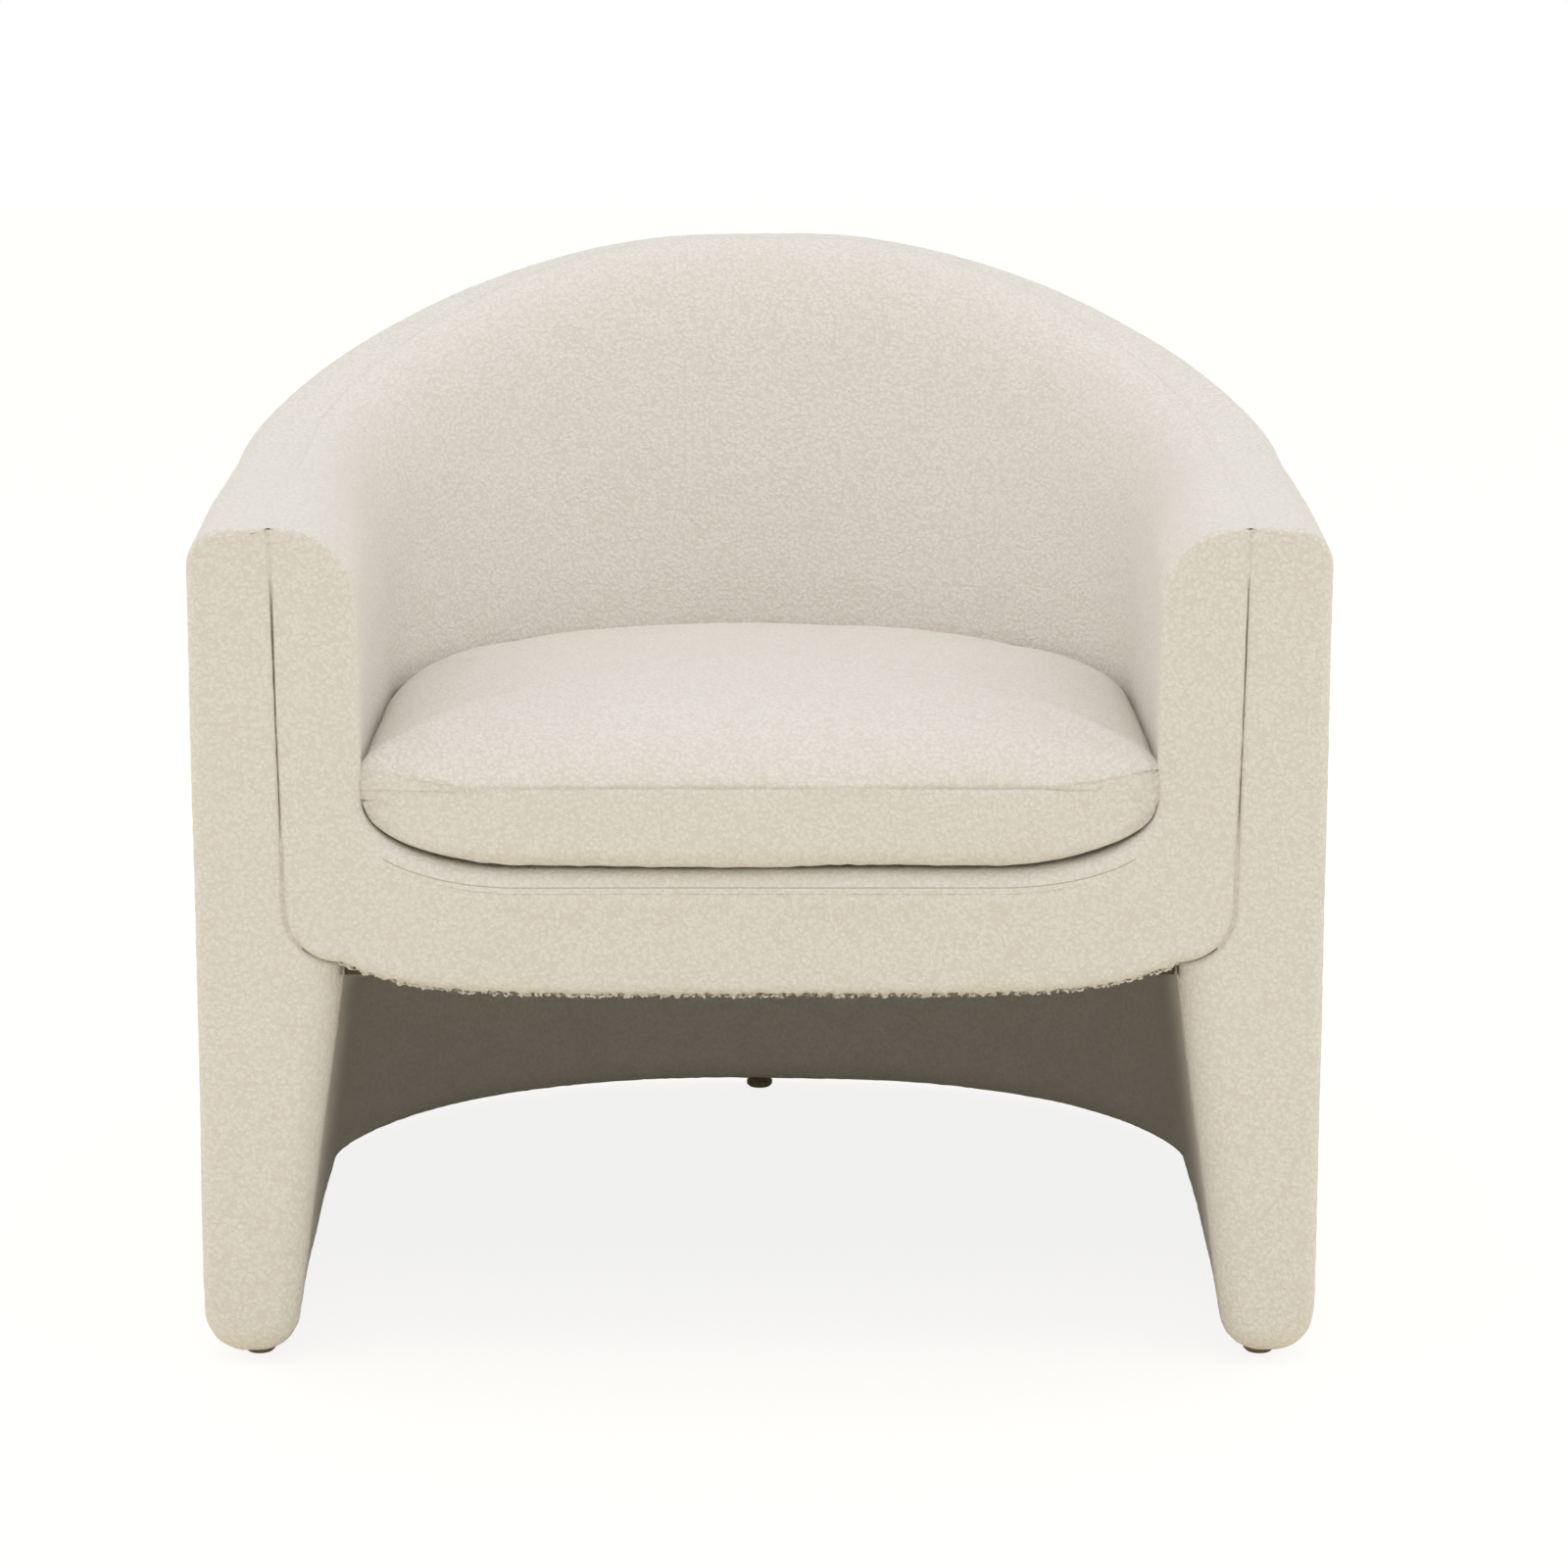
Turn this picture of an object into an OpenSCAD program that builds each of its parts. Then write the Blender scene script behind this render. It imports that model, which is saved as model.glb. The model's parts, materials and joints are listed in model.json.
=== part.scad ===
// Barrel armchair: a horseshoe shell that stands on its own edge, a padded tub set inside it,
// and a loose seat cushion with a zipped cover. Millimetres, +Z up, the front faces -Y.

/* [Overall size] */
// Width over the outside of the arms, at their widest
width = 810; // [780:5:840]
// Depth from the front plane to the back
depth = 780; // [760:5:810]
// Height of the top of the back
back_height = 736; // [700:4:780]
// Height of the top of the arms at the front
arm_height = 605; // [585:5:625]
// Height of the padded lower edge above the floor
ground_gap = 8; // [6:1:12]

/* [Plan of the shell] */
// Radius of the long sides, which bow out a little
side_radius = 9000; // [7000:500:14000]
// Radius of the outside rear corners
corner_radius = 350; // [330:5:365]
// Radius of the outside of the back
back_radius = 1000; // [900:50:1300]

/* [Shell section] */
// Distance from the front plane at which the rim starts to climb
rise_start = 360; // [320:10:400]
// Length of rim over which it climbs from arm height to back height
rise_run = 640; // [600:10:660]
// Radius of the rim's outside edge and of the lower outside edge
edge_radius = 28; // [22:1:32]
// Width of the shell at the rim, from its outside to the groove
shell_wall = 57; // [54:1:60]
// Width of the shell at its lower edge
foot_wall = 67; // [64:1:72]
// Radius of the lower inside edge
foot_radius = 30; // [26:1:32]
// Widening of the lower wall for each millimetre of height
skirt_taper = 0.143; // [0.12:0.005:0.16]

/* [Tub] */
// Thickness of the arms, shell and tub together, at the rim
arm_thickness = 117; // [114:1:122]
// Thickness of the arms at the deck, where the seat space is widest
arm_foot = 120; // [118:0.5:123]
// Distance from the front plane to the foot of the inside back
seat_depth = 602; // [590:2:610]
// Radius of the seat space's rear corners
seat_corner_radius = 201; // [190:1:205]
// By how much the radius of the inside back's foot is more than half the seat's width
seat_bow = 46; // [35:1:65]
// Radius of the roll from the rim down into the seat
roll_radius = 50; // [44:1:54]
// Height above the deck's front at which the inside back starts to lean
contact_rise = 67; // [60:1:76]
// Thickness of the tub's padding with its cover
tub_padding = 58; // [54:1:60]
// Depth of the crevice behind the seat cushion's rear edge
crevice = 16; // [14:1:20]
// Drop from the deck's front to the tub's lower edge, where it meets the legs
band_drop_side = 67; // [64:1:71]
// Drop from the deck's front to the tub's lower edge in the middle
band_drop_middle = 90; // [84:1:95]
// Radius of the tub's lower front corners
tuck_radius = 40; // [34:1:44]
// Width of the rounded lower corners of the front opening
lip_w = 110; // [90:5:130]
// Height of the rounded lower corners of the front opening
lip_h = 50; // [44:1:54]

/* [Cloth and padding] */
// Thickness of the looped outer cloth
cloth = 2; // [1.5:0.5:2.5]
// Thickness of the foam on the shell
shell_pad = 6; // [5:1:7]
// Thickness of the foam on the front of the legs
leg_pad = 10; // [8:1:12]
// Thickness of the foam on the front of the tub, with the cloth
front_pad = 30; // [28:1:34]
// Thickness of the foam over the top rail
rim_pad = 12; // [11:1:14]

/* [Frame] */
// Thickness of the bent ply skins
skin = 4; // [3:0.5:4]
// Thickness of the flat ply panels and ribs
ply = 18; // [15:1:18]
// Thickness of the inside back board
board = 3; // [2:0.5:4]
// Thickness of the lower base plate
base_lower = 10; // [9:1:12]
// Thickness of the upper base plate
base_upper = 12; // [10:1:15]
// Thickness of the top rail
top_rail_t = 22; // [18:1:26]
// Inside edge of the top rail, from the shell's outside
top_rail_in = 52; // [48:1:53]
// Drop from the deck's front to the underside of the seat ring
seat_drop = 79; // [75:1:83]
// Width of the seat ring inside the foot of the tub
ring_ledge = 60; // [50:2:70]
// Thickness of the seat rails, front to back
rail_t = 28; // [24:1:32]
// Width of the side rails
side_rail_w = 26; // [20:1:30]
// Half length of the rear rail
rear_rail_half = 150; // [140:2:156]

/* [Deck] */
// Height of the deck at the front plane
deck_height = 363; // [360:1:368]
// Backward slope of the deck and the cushion, in degrees
pitch = 2.5; // [2:0.25:3]
// Thickness of the deck cloth
deck_cloth = 1.2; // [0.8:0.2:1.6]
// Thickness of the deck foam
deck_pad = 14; // [10:1:15]
// Thickness of the elastic webbing
web_t = 2; // [1.5:0.5:2]
// Width of a webbing strap
web_w = 50; // [40:5:60]
// Distance between the front-to-back straps
web_pitch = 70; // [64:1:72]

/* [Seat cushion] */
// Height from the cushion's underside to its side seam
seam_rise = 60; // [54:1:64]
// Height of the crown above the side seam
crown = 50; // [40:1:56]
// Gap between the cushion and the arms
side_gap = 1; // [0.8:0.1:2]
// Gap between the cushion's rear edge and the foot of the back
back_gap = 11; // [10:0.5:13]
// Setback of the cushion's front edge from the front plane
front_setback = 5; // [3:0.5:8]
// Radius of the cushion's rear corners
cushion_corner = 195; // [185:1:198]
// Radius of the cushion's front corners
cushion_front_corner = 26; // [20:1:34]
// Bow of the cushion's front edge, forward in the middle
front_bow = 3; // [1:0.5:5]
// Height of the upright band along the cushion's edge
edge_band = 24; // [22:1:28]
// Thickness of the fibre wrap around the foam core
wrap = 12; // [8:1:16]

/* [Zip] */
// Angle of the back over which the zip runs, either side of the middle
zip_half_angle = 36; // [30:1:38]
// Width of one zip tape
tape_w = 9; // [8:0.5:9.5]
// Thickness of the zip tape
tape_t = 0.8; // [0.6:0.1:1]
// Width of one row of teeth
teeth_w = 2.1; // [1.8:0.1:2.4]
// Thickness of the teeth
teeth_t = 1.8; // [1.4:0.1:2]
// Length of the slider
slider_l = 10; // [8:1:12]
// Running clearance around the teeth in the slider
slider_fit = 0.3; // [0.2:0.05:0.4]
// Length of the pull tab
pull_l = 15; // [12:0.5:15]

/* [Glides] */
// Diameter of a glide
glide_d = 22; // [20:1:26]
// Diameter of a glide's nail
nail_d = 3; // [2.5:0.5:3.5]
// Length of a glide's nail above the glide
nail_l = 26; // [22:1:28]
// Distance of the front glides from the front plane
glide_depth = 42; // [38:1:50]

/* [Screws] */
// Diameter of a frame screw's shank
screw_d = 4; // [3.5:0.5:5]
// Length of a frame screw
screw_l = 50; // [40:5:60]
// Diameter of a screw head
head_d = 8; // [7:0.5:9]
// Depth of a screw head
head_t = 3; // [2.5:0.5:4]

/* [Hidden] */
$fn = 48;

// Planes and levels
y_front = -depth / 2;
fit = 0.3;
glue = 0.2;
slack = 1;
under_cover = 0.4;
seat_half = width / 2 - arm_foot;
seat_back_radius = seat_half + seat_bow;
seat_level = deck_height - seat_drop;
contact_height = deck_height + contact_rise;
tub_low_side = deck_height - band_drop_side;
tub_low_middle = deck_height - band_drop_middle;
y_leg_pad = y_front + cloth;
y_panel = y_leg_pad + leg_pad;
y_frame = y_front + front_pad;
panel_t = y_frame - y_panel;
pad_in = cloth + shell_pad;
skin_out = pad_in + glue;
skin_in = skin_out + skin;
foot_z = ground_gap + foot_radius;
foot_flat = foot_wall - foot_radius;
plate_z = ground_gap + cloth + 12;
plate_top = plate_z + base_lower + base_upper;
ring_top = seat_level + ply;
rib_bite = 1;
dust_t = 1;
rail_foot = rim_pad + cloth;
rail_room = 0.8;
board_room = 1.6;
leg_in = rail_foot + fit;
frame_out = skin_in + glue;

// Fields of a plan: a plan is a D, open at the front, made of tangent arcs
HALF = 0;
RC = 1;
RB = 2;
XC = 3;
YC = 4;
YB = 5;
JOIN = 6;

// A plan from its half width, its rearmost y and the radii of its corner and its back
function plan(half, rear, corner, back) =
  let (xc = half - corner, yb = rear - back)
  let (rise = sqrt(pow(back - corner, 2) - xc * xc))
  [half, corner, back, xc, yb + rise, yb, atan2(rise, xc)];

shell = plan(width / 2, depth / 2, corner_radius, back_radius);
seat = plan(seat_half, y_front + seat_depth, seat_corner_radius, seat_back_radius);
cushion_half = seat_half - side_gap;
cushion_rear = y_front + seat_depth - back_gap;
zip_radius = seat_back_radius - back_gap;
cushion = plan(cushion_half, cushion_rear, cushion_corner, zip_radius);

// Directions of the outward normal around the rear half of a plan
turn_step = 6;
turns = [each [0:turn_step:84], 87, 90];
side_n = 4;
last = side_n + len(turns) - 1;

// Half width at y of a plan's offset by e towards the inside
function side_x(p, e, y) =
  p[HALF] - side_radius + sqrt(pow(side_radius - e, 2) - pow(y - p[YC], 2));

// Point of the offset where the outward normal has direction a
function turn_pt(p, e, a) =
  a < p[JOIN]
  ? [p[XC] + (p[RC] - e) * cos(a), p[YC] + (p[RC] - e) * sin(a)]
  : [(p[RB] - e) * cos(a), p[YB] + (p[RB] - e) * sin(a)];

// Station i of a plan, counted from the front right, over the back, to the front left
function half_pt(p, e, y0, i) =
  i < side_n
  ? let (y = y0 + (p[YC] - y0) * i / side_n) [side_x(p, e, y), y]
  : turn_pt(p, e, turns[i - side_n]);
function mirrored(q) = [-q[0], q[1]];
function spot(p, e, y0, i) =
  i <= last ? half_pt(p, e, y0, i) : mirrored(half_pt(p, e, y0, 2 * last - i));
function outline(p, e, y0) = [for (i = [0:2 * last]) spot(p, e, y0, i)];

// Height of the rim after s millimetres along the shell's outside
function ease(u) = let (t = max(0, min(1, u))) t * t * (3 - 2 * t);
function rim_after(s) =
  arm_height + (back_height - arm_height) * ease((s - rise_start) / rise_run);
function radians(a) = a * PI / 180;
function turned(a) =
  shell[YC] - y_front + shell[RC] * radians(min(a, shell[JOIN]))
  + shell[RB] * radians(max(a - shell[JOIN], 0));
function rim(y0, i) =
  let (j = i <= last ? i : 2 * last - i)
  j < side_n
  ? rim_after(y0 + (shell[YC] - y0) * j / side_n - y_front)
  : rim_after(turned(turns[j - side_n]));

// Distance of the lower wall's inside face from the shell's outside, at height z
function skirt(z) = foot_wall + skirt_taper * (z - foot_z);

// Points of an arc about c from direction a0 to a1
function arc(c, r, a0, a1, n) =
  [for (k = [0:n]) let (a = a0 + (a1 - a0) * k / n) c + r * [cos(a), sin(a)]];

// A station's section points: [inset, height] pairs placed on the shell's plan
function on_shell(y0, i, pairs) =
  [for (q = pairs) let (s = spot(shell, q[0], y0, i)) [s[0], s[1], q[1]]];

// A point of the tub, t behind its finished face, at height z
function recess(i) = let (j = i <= last ? i : 2 * last - i)
  j <= side_n ? 0 : crevice * ease(turns[j - side_n] / 30);
function tub_pt(y0, i, t, z, cut) =
  let (top = rim(y0, i) - roll_radius)
  let (u = max(0, min(1, (z - contact_height) / (top - contact_height))))
  let (low = spot(seat, -t - cut * recess(i), y0, i))
  let (high = spot(shell, arm_thickness - t, y0, i))
  let (q = low + (high - low) * u) [q[0], q[1], z];

// Solid through rings of equal length, closed by its first and last ring; each face between
// two rings is split along its shorter diagonal, so that nested solids bend alike. A wrapped
// ring is a line and back again, and its ends are closed by a strip between the two
module loft(rings, wrapped = false) {
  n = len(rings[0]);
  m = len(rings);
  points = [for (ring = rings) each ring];
  sides = [for (i = [0:m - 2], j = [0:n - 1])
    let (a = i * n + j, b = i * n + (j + 1) % n)
    each norm(points[a] - points[b + n]) < norm(points[b] - points[a + n])
      ? [[a, b, b + n], [a, b + n, a + n]]
      : [[a, b, a + n], [b, b + n, a + n]]];
  end_ring = wrapped
    ? [for (j = [0:n / 2 - 2]) [j, j + 1, n - 2 - j, n - 1 - j]]
    : [[for (j = [0:n - 1]) j]];
  start_cap = [for (q = end_ring) reversed(q)];
  end_cap = [for (q = end_ring) [for (j = q) (m - 1) * n + j]];
  polyhedron(points, concat(sides, start_cap, end_cap));
}

// Flat plate with a plan's outline
module plan_plate(p, e, y0, z, t) {
  translate([0, 0, z]) linear_extrude(t) polygon(outline(p, e, y0));
}

// Plate in the front plane: its outline is given as [x, z]
module front_plate(points, y, t) {
  translate([0, y + t, 0]) rotate([90, 0, 0]) linear_extrude(t) polygon(points);
}

module both_sides() {
  children();
  mirror([1, 0, 0]) children();
}

// ---------------------------------------------------------------- front outlines

front_half = side_x(shell, 0, y_front);
seat_front = side_x(seat, 0, y_front);
groove_top = front_half - shell_wall;
groove_low = groove_top - 5;
tuck_x = groove_low - tuck_radius;
tuck_z = tub_low_side + tuck_radius;
band_step = 1;
band_top = deck_height - band_step;
arc_n = 8;

// Outline of the right leg's front, moved in by d
function leg_outline(d) =
  let (low = [front_half - skirt(tub_low_side - d) + d, tub_low_side - d])
  let (turn = acos(max(0, (low[0] - tuck_x) / (tuck_radius + d))))
  concat(
  arc([front_half - edge_radius, ground_gap + edge_radius], edge_radius - d, 270, 360, arc_n),
  arc([front_half - edge_radius, arm_height - edge_radius], edge_radius - d, 0, 90, arc_n),
  [[groove_top + d, arm_height - d]],
  arc([tuck_x, tuck_z], tuck_radius + d, 0, -turn, arc_n),
  [low],
  arc([front_half - foot_flat, foot_z], foot_radius - d, 180, 270, arc_n)
);

// Lower edge of the tub's front, which bows down to the middle
bow_n = 8;
function bow(x) =
  tub_low_middle + (tub_low_side - tub_low_middle) * pow(x / tuck_x, 3);

// Right half of the tub's front, moved in by d: down the groove, then up the inside, whose
// lower corner is a quarter of an oval
function tub_outer(d) = concat(
  [[groove_top - fit - d, arm_height - d]],
  arc([tuck_x, tuck_z], tuck_radius - fit - d, 0, -90, arc_n),
  [for (k = [bow_n - 1:-1:0]) let (x = tuck_x * k / bow_n) [x, bow(x) + d]]
);
function lip(d, a0, a1) = [for (k = [0:arc_n]) let (a = a0 + (a1 - a0) * k / arc_n)
  [seat_front - lip_w + (lip_w + d) * cos(a), band_top + lip_h + (lip_h + d) * sin(a)]];
function tub_inner(d) = concat(
  lip(d, 270, 360),
  arc([front_half - arm_thickness + roll_radius, arm_height - roll_radius],
    roll_radius - d, 180, 90, arc_n)
);
function reversed(list) = [for (k = [len(list) - 1:-1:0]) list[k]];
function mirror_all(list) = [for (q = list) mirrored(q)];
function tub_outline(d) = concat(
  tub_outer(d), mirror_all(reversed([for (k = [0:len(tub_outer(d)) - 2]) tub_outer(d)[k]])),
  mirror_all(reversed(tub_inner(d))), tub_inner(d)
);

// ---------------------------------------------------------------- frame

// Nail positions: two under the front of the legs, one under the middle of the back
glide_inset = 35;
glide_spots = [
  [front_half - glide_inset, y_front + glide_depth],
  [-front_half + glide_inset, y_front + glide_depth],
  [0, depth / 2 - glide_inset]
];

// Inside and outside edges of the two base plates, from the shell's outside
lower_in = foot_wall - 19;
lower_out = 18;
upper_in = foot_wall - 15;

module nail_holes(z, t) {
  for (q = glide_spots) translate([q[0], q[1], z - fit]) cylinder(d = nail_d, h = t + 2 * fit);
}

module horseshoe(out, in, y0, z, t) {
  difference() {
    plan_plate(shell, out, y0, z, t);
    translate([0, 0, -fit]) plan_plate(shell, in, y0 - fit, z, t + 2 * fit);
  }
}

module base_plate_lower() color("burlywood") difference() {
  horseshoe(lower_out, lower_in, y_frame, plate_z, base_lower);
  nail_holes(plate_z, base_lower);
}

module base_plate_upper() color("burlywood") difference() {
  horseshoe(frame_out, upper_in, y_frame, plate_z + base_lower, base_upper);
  nail_holes(plate_z + base_lower, base_upper);
  screw_shanks();
}

// Screws through the leg panels, into the edges of the seat ring and the upper base plate
screw_inset = 24;
screw_step = 18;
screw_spots = [for (d = [screw_inset, screw_inset + screw_step], x = front_half - d) each [
  [x, seat_level + ply / 2], [x, plate_top - base_upper / 2]
]];
module screw_shanks() {
  both_sides() for (q = screw_spots)
    translate([q[0], y_panel, q[1]]) rotate([-90, 0, 0]) cylinder(d = screw_d, h = screw_l);
}
module screw_heads() {
  both_sides() for (q = screw_spots)
    translate([q[0], y_panel, q[1]]) rotate([-90, 0, 0]) cylinder(d = head_d, h = head_t);
}

module frame_screws() color("silver") {
  screw_shanks();
  screw_heads();
}

module leg_panel() difference() {
  front_plate(leg_outline(leg_in), y_panel, panel_t);
  screw_shanks();
  screw_heads();
}

module leg_panel_right() color("burlywood") leg_panel();
module leg_panel_left() color("burlywood") mirror([1, 0, 0]) leg_panel();

// Glued blocks behind the leg panels, under the seat ring
block = 40;
block_w = 44;
module leg_blocks() color("tan") both_sides()
  translate([front_half - leg_in - block_w, y_frame, seat_level - block])
    rotate([90, 0, 90]) linear_extrude(block_w) polygon([[0, 0], [0, block], [block, block]]);

// Ribs stand on the shell's plan, at these places on the long sides and on the turn
rib_sides = [-230, -60];
rib_turns = [24, 54];
module rib_at(origin, direction, profile) {
  translate([origin[0], origin[1], 0]) rotate([0, 0, direction + 180])
    rotate([90, 0, 0]) translate([0, 0, -ply / 2]) linear_extrude(ply) polygon(profile);
}

rib_out = frame_out + rib_bite / 2;
function lower_profile() = [
  [rib_out, plate_top], [skirt(plate_top) - skin_in - rib_bite, plate_top],
  [skirt(seat_level) - skin_in - rib_bite, seat_level], [rib_out, seat_level]
];

module lower_ribs() color("burlywood") {
  both_sides() {
    for (y = rib_sides) rib_at([side_x(shell, 0, y), y], 0, lower_profile());
    for (a = rib_turns) rib_at(turn_pt(shell, 0, a), a, lower_profile());
  }
  rib_at(turn_pt(shell, 0, 90), 90, lower_profile());
}

// Distance from a point of the shell, straight in, to the foot of the tub
function to_circle(o, a, c, r) =
  let (n = [cos(a), sin(a)], along = (o - c) * n)
  along - sqrt(along * along - (o - c) * (o - c) + r * r);
function reach(o, a) =
  let (corner = [seat[XC], seat[YC]], t = to_circle(o, a, corner, seat[RC]))
  let (hit = o - t * [cos(a), sin(a)] - corner)
  atan2(hit[1], hit[0]) < seat[JOIN] ? t : to_circle(o, a, [0, seat[YB]], seat[RB]);

board_back = tub_padding + board_room + board + rib_bite;
function upper_profile(foot, top) = [
  [rib_out, ring_top], [foot - board_back, ring_top], [foot - board_back, contact_height],
  [arm_thickness - board_back - rib_bite, top - roll_radius],
  [arm_thickness - board_back - rib_bite, top - rail_foot - top_rail_t],
  [rib_out, top - rail_foot - top_rail_t]
];
function rib_rim(s) = rim_after(s - ply / 2) - rail_room - 2 * fit;

module upper_ribs() color("burlywood") {
  both_sides() {
    for (y = rib_sides) let (x = side_x(shell, 0, y))
      rib_at([x, y], 0, upper_profile(x - side_x(seat, 0, y), rib_rim(y - y_front)));
    for (a = rib_turns) let (o = turn_pt(shell, 0, a))
      rib_at(o, a, upper_profile(reach(o, a) - 3 * rib_bite, rib_rim(turned(a))));
  }
  rib_at(turn_pt(shell, 0, 90), 90, upper_profile(depth - seat_depth, rib_rim(turned(90))));
}

module seat_ring() color("burlywood") difference() {
  plan_plate(shell, frame_out, y_frame, seat_level, ply);
  translate([0, 0, -fit])
    plan_plate(seat, ring_ledge, y_frame + ring_ledge, seat_level, ply + 2 * fit);
  screw_shanks();
}

module top_rail() color("burlywood") loft([for (i = [0:2 * last])
  let (top = rim(y_frame, i) - rail_foot - rail_room)
  on_shell(y_frame, i, [[rail_foot, top - top_rail_t], [rail_foot, top], [top_rail_in, top],
    [top_rail_in, top - top_rail_t]])]);

module outer_skin() color("peru") loft([for (i = [0:2 * last])
  let (top = rim(y_panel, i) - edge_radius, low = ground_gap + edge_radius)
  on_shell(y_panel, i, [[skin_out, low], [skin_out, top], [skin_in, top], [skin_in, low]])]);

module skirt_skin() color("peru") loft([for (i = [0:2 * last])
  on_shell(y_panel, i, [
    [skirt(plate_top) - skin_in, plate_top], [skirt(seat_level) - skin_in, seat_level],
    [skirt(seat_level) - skin_out, seat_level], [skirt(plate_top) - skin_out, plate_top]])]);

module inner_back_board() color("sienna") loft([for (i = [0:2 * last])
  let (top = rim(y_frame, i) - rail_foot - fit, face = tub_padding + board_room)
  let (back = tub_padding + board_room + board - slack)
  [for (q = [[back, ring_top], [back, contact_height], [back, top],
      [face, top], [face, contact_height], [face, ring_top]])
    tub_pt(y_frame, i, q[0], q[1], 0)]]);

// ---------------------------------------------------------------- seat frame and deck

// Height of the deck plane at y, lowered by drop
function deck_at(y, drop) = deck_height - tan(pitch) * (y - y_front) - drop / cos(pitch);
deck_stack = deck_cloth + deck_pad + 2 * web_t;

// A rail whose top follows the deck's slope
module sloped_rail(x0, x1, y0, y1) {
  translate([x0, 0, 0]) rotate([90, 0, 90]) linear_extrude(x1 - x0)
    polygon([[y0, ring_top], [y1, ring_top], [y1, deck_at(y1, deck_stack)],
      [y0, deck_at(y0, deck_stack)]]);
}

front_rail_half = seat_front - cloth;
side_rail_x = seat_half - ring_ledge + 4;
rear_rail_y = y_front + seat_depth - ring_ledge + 3;
side_rail_gap = 85;
side_rail_end = rear_rail_y - side_rail_gap;

module front_rail() color("wheat")
  sloped_rail(-front_rail_half, front_rail_half, y_frame, y_frame + rail_t);
module rear_rail() color("wheat")
  sloped_rail(-rear_rail_half, rear_rail_half, rear_rail_y, rear_rail_y + rail_t);
module side_rail_right() color("wheat")
  sloped_rail(side_rail_x, side_rail_x + side_rail_w, y_frame + rail_t, side_rail_end);
module side_rail_left() color("wheat")
  sloped_rail(-side_rail_x - side_rail_w, -side_rail_x, y_frame + rail_t, side_rail_end);

corner_block = 36;
corner_block_t = 14;
module corner_blocks() color("tan") both_sides()
  translate([side_rail_x, y_frame + rail_t, ring_top]) linear_extrude(corner_block_t)
    polygon([[0, 0], [0, corner_block], [-corner_block, 0]]);

// Frame of the deck: its origin lies in the front plane, z = 0 is the deck's face
module on_deck() {
  translate([0, y_front, deck_height]) rotate([-pitch, 0, 0]) translate([0, -y_front, 0])
    children();
}

strap_start = y_frame + 3;
strap_end = rear_rail_y + rail_t - 3;
web_cross_y = [-280, -190, -100, -10];
module webbing_long() color("black") on_deck() for (k = [-2:2])
  translate([k * web_pitch - web_w / 2, strap_start, -deck_stack])
    cube([web_w, strap_end - strap_start, web_t]);

cross_half = side_rail_x + side_rail_w - 2;
module webbing_cross() color("black") on_deck() for (y = web_cross_y)
  translate([-cross_half, y, -deck_stack + web_t]) cube([2 * cross_half, web_w, web_t]);

deck_edge = 1;
module deck_foam() color("lightyellow") on_deck()
  plan_plate(seat, deck_edge, y_frame + deck_edge, -deck_cloth - deck_pad, deck_pad);
module deck_cover() color("gainsboro") on_deck()
  plan_plate(seat, deck_edge, y_frame + deck_edge, -deck_cloth, deck_cloth);

module dust_cover() color("dimgray")
  plan_plate(shell, skirt(seat_level) + fit, y_frame + fit, seat_level - dust_t, dust_t);

// ---------------------------------------------------------------- shell padding and covers

fine = 3;

// Outside line of the shell's section, d under its surface, from the groove to the lower edge;
// its flat top lies top_d under the rim
function shell_line(top, d, top_d) = concat(
  [[shell_wall, top - top_d]],
  arc([edge_radius, top - edge_radius], edge_radius - d,
    180 - asin((edge_radius - top_d) / (edge_radius - d)), 180, fine),
  arc([edge_radius, ground_gap + edge_radius], edge_radius - d, 180, 270, fine),
  arc([foot_flat, foot_z], foot_radius - d, 270, 360, fine)
);

// Padding of the shell's wall, a pad for each side and two behind, from station i0 to i1
foam_out = cloth + under_cover;
module shell_foam(i0, i1) difference() {
  loft([for (i = [i0:i1])
    let (top = rim(y_leg_pad, i))
    let (under = [skirt(seat_level - dust_t), seat_level - dust_t])
    on_shell(y_leg_pad, i, concat(
      shell_line(top, pad_in, rail_foot), [under - [pad_in, 0], under - [foam_out, 0]],
      reversed(shell_line(top, foam_out, foam_out))))], wrapped = true);
  nail_holes(ground_gap, plate_z);
}
module side_foam_right() color("khaki") shell_foam(0, side_n);
module side_foam_left() color("khaki") shell_foam(2 * last - side_n, 2 * last);
module back_foam_right() color("khaki") shell_foam(side_n, last);
module back_foam_left() color("khaki") shell_foam(last, 2 * last - side_n);

module leg_foam() color("khaki") both_sides()
  front_plate(leg_outline(leg_in), y_leg_pad, leg_pad);

module outside_cover() color("ivory") difference() {
  loft([for (i = [0:2 * last])
    let (top = rim(y_leg_pad, i))
    on_shell(y_leg_pad, i, concat(
      shell_line(top, cloth, cloth), reversed(shell_line(top, 0, 0))))], wrapped = true);
  nail_holes(ground_gap, cloth);
}

// Cloth panels on the fronts of the legs
module leg_facing() front_plate(leg_outline(0), y_front, cloth);
module leg_facing_right() color("ivory") leg_facing();
module leg_facing_left() color("ivory") mirror([1, 0, 0]) leg_facing();

// Inside lining of the lower wall, in two halves that meet at a seam behind
function lining_ring(i) = on_shell(y_leg_pad, i, [
  [skirt(foot_z + fit) - cloth, foot_z + fit],
  [skirt(seat_level) - cloth, seat_level - dust_t],
  [skirt(seat_level), seat_level - dust_t],
  [skirt(foot_z + fit), foot_z + fit]
]);
module skirt_lining_right() color("ivory") loft([for (i = [0:last]) lining_ring(i)]);
module skirt_lining_left() color("ivory") loft([for (i = [last:2 * last]) lining_ring(i)]);

// ---------------------------------------------------------------- tub

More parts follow.
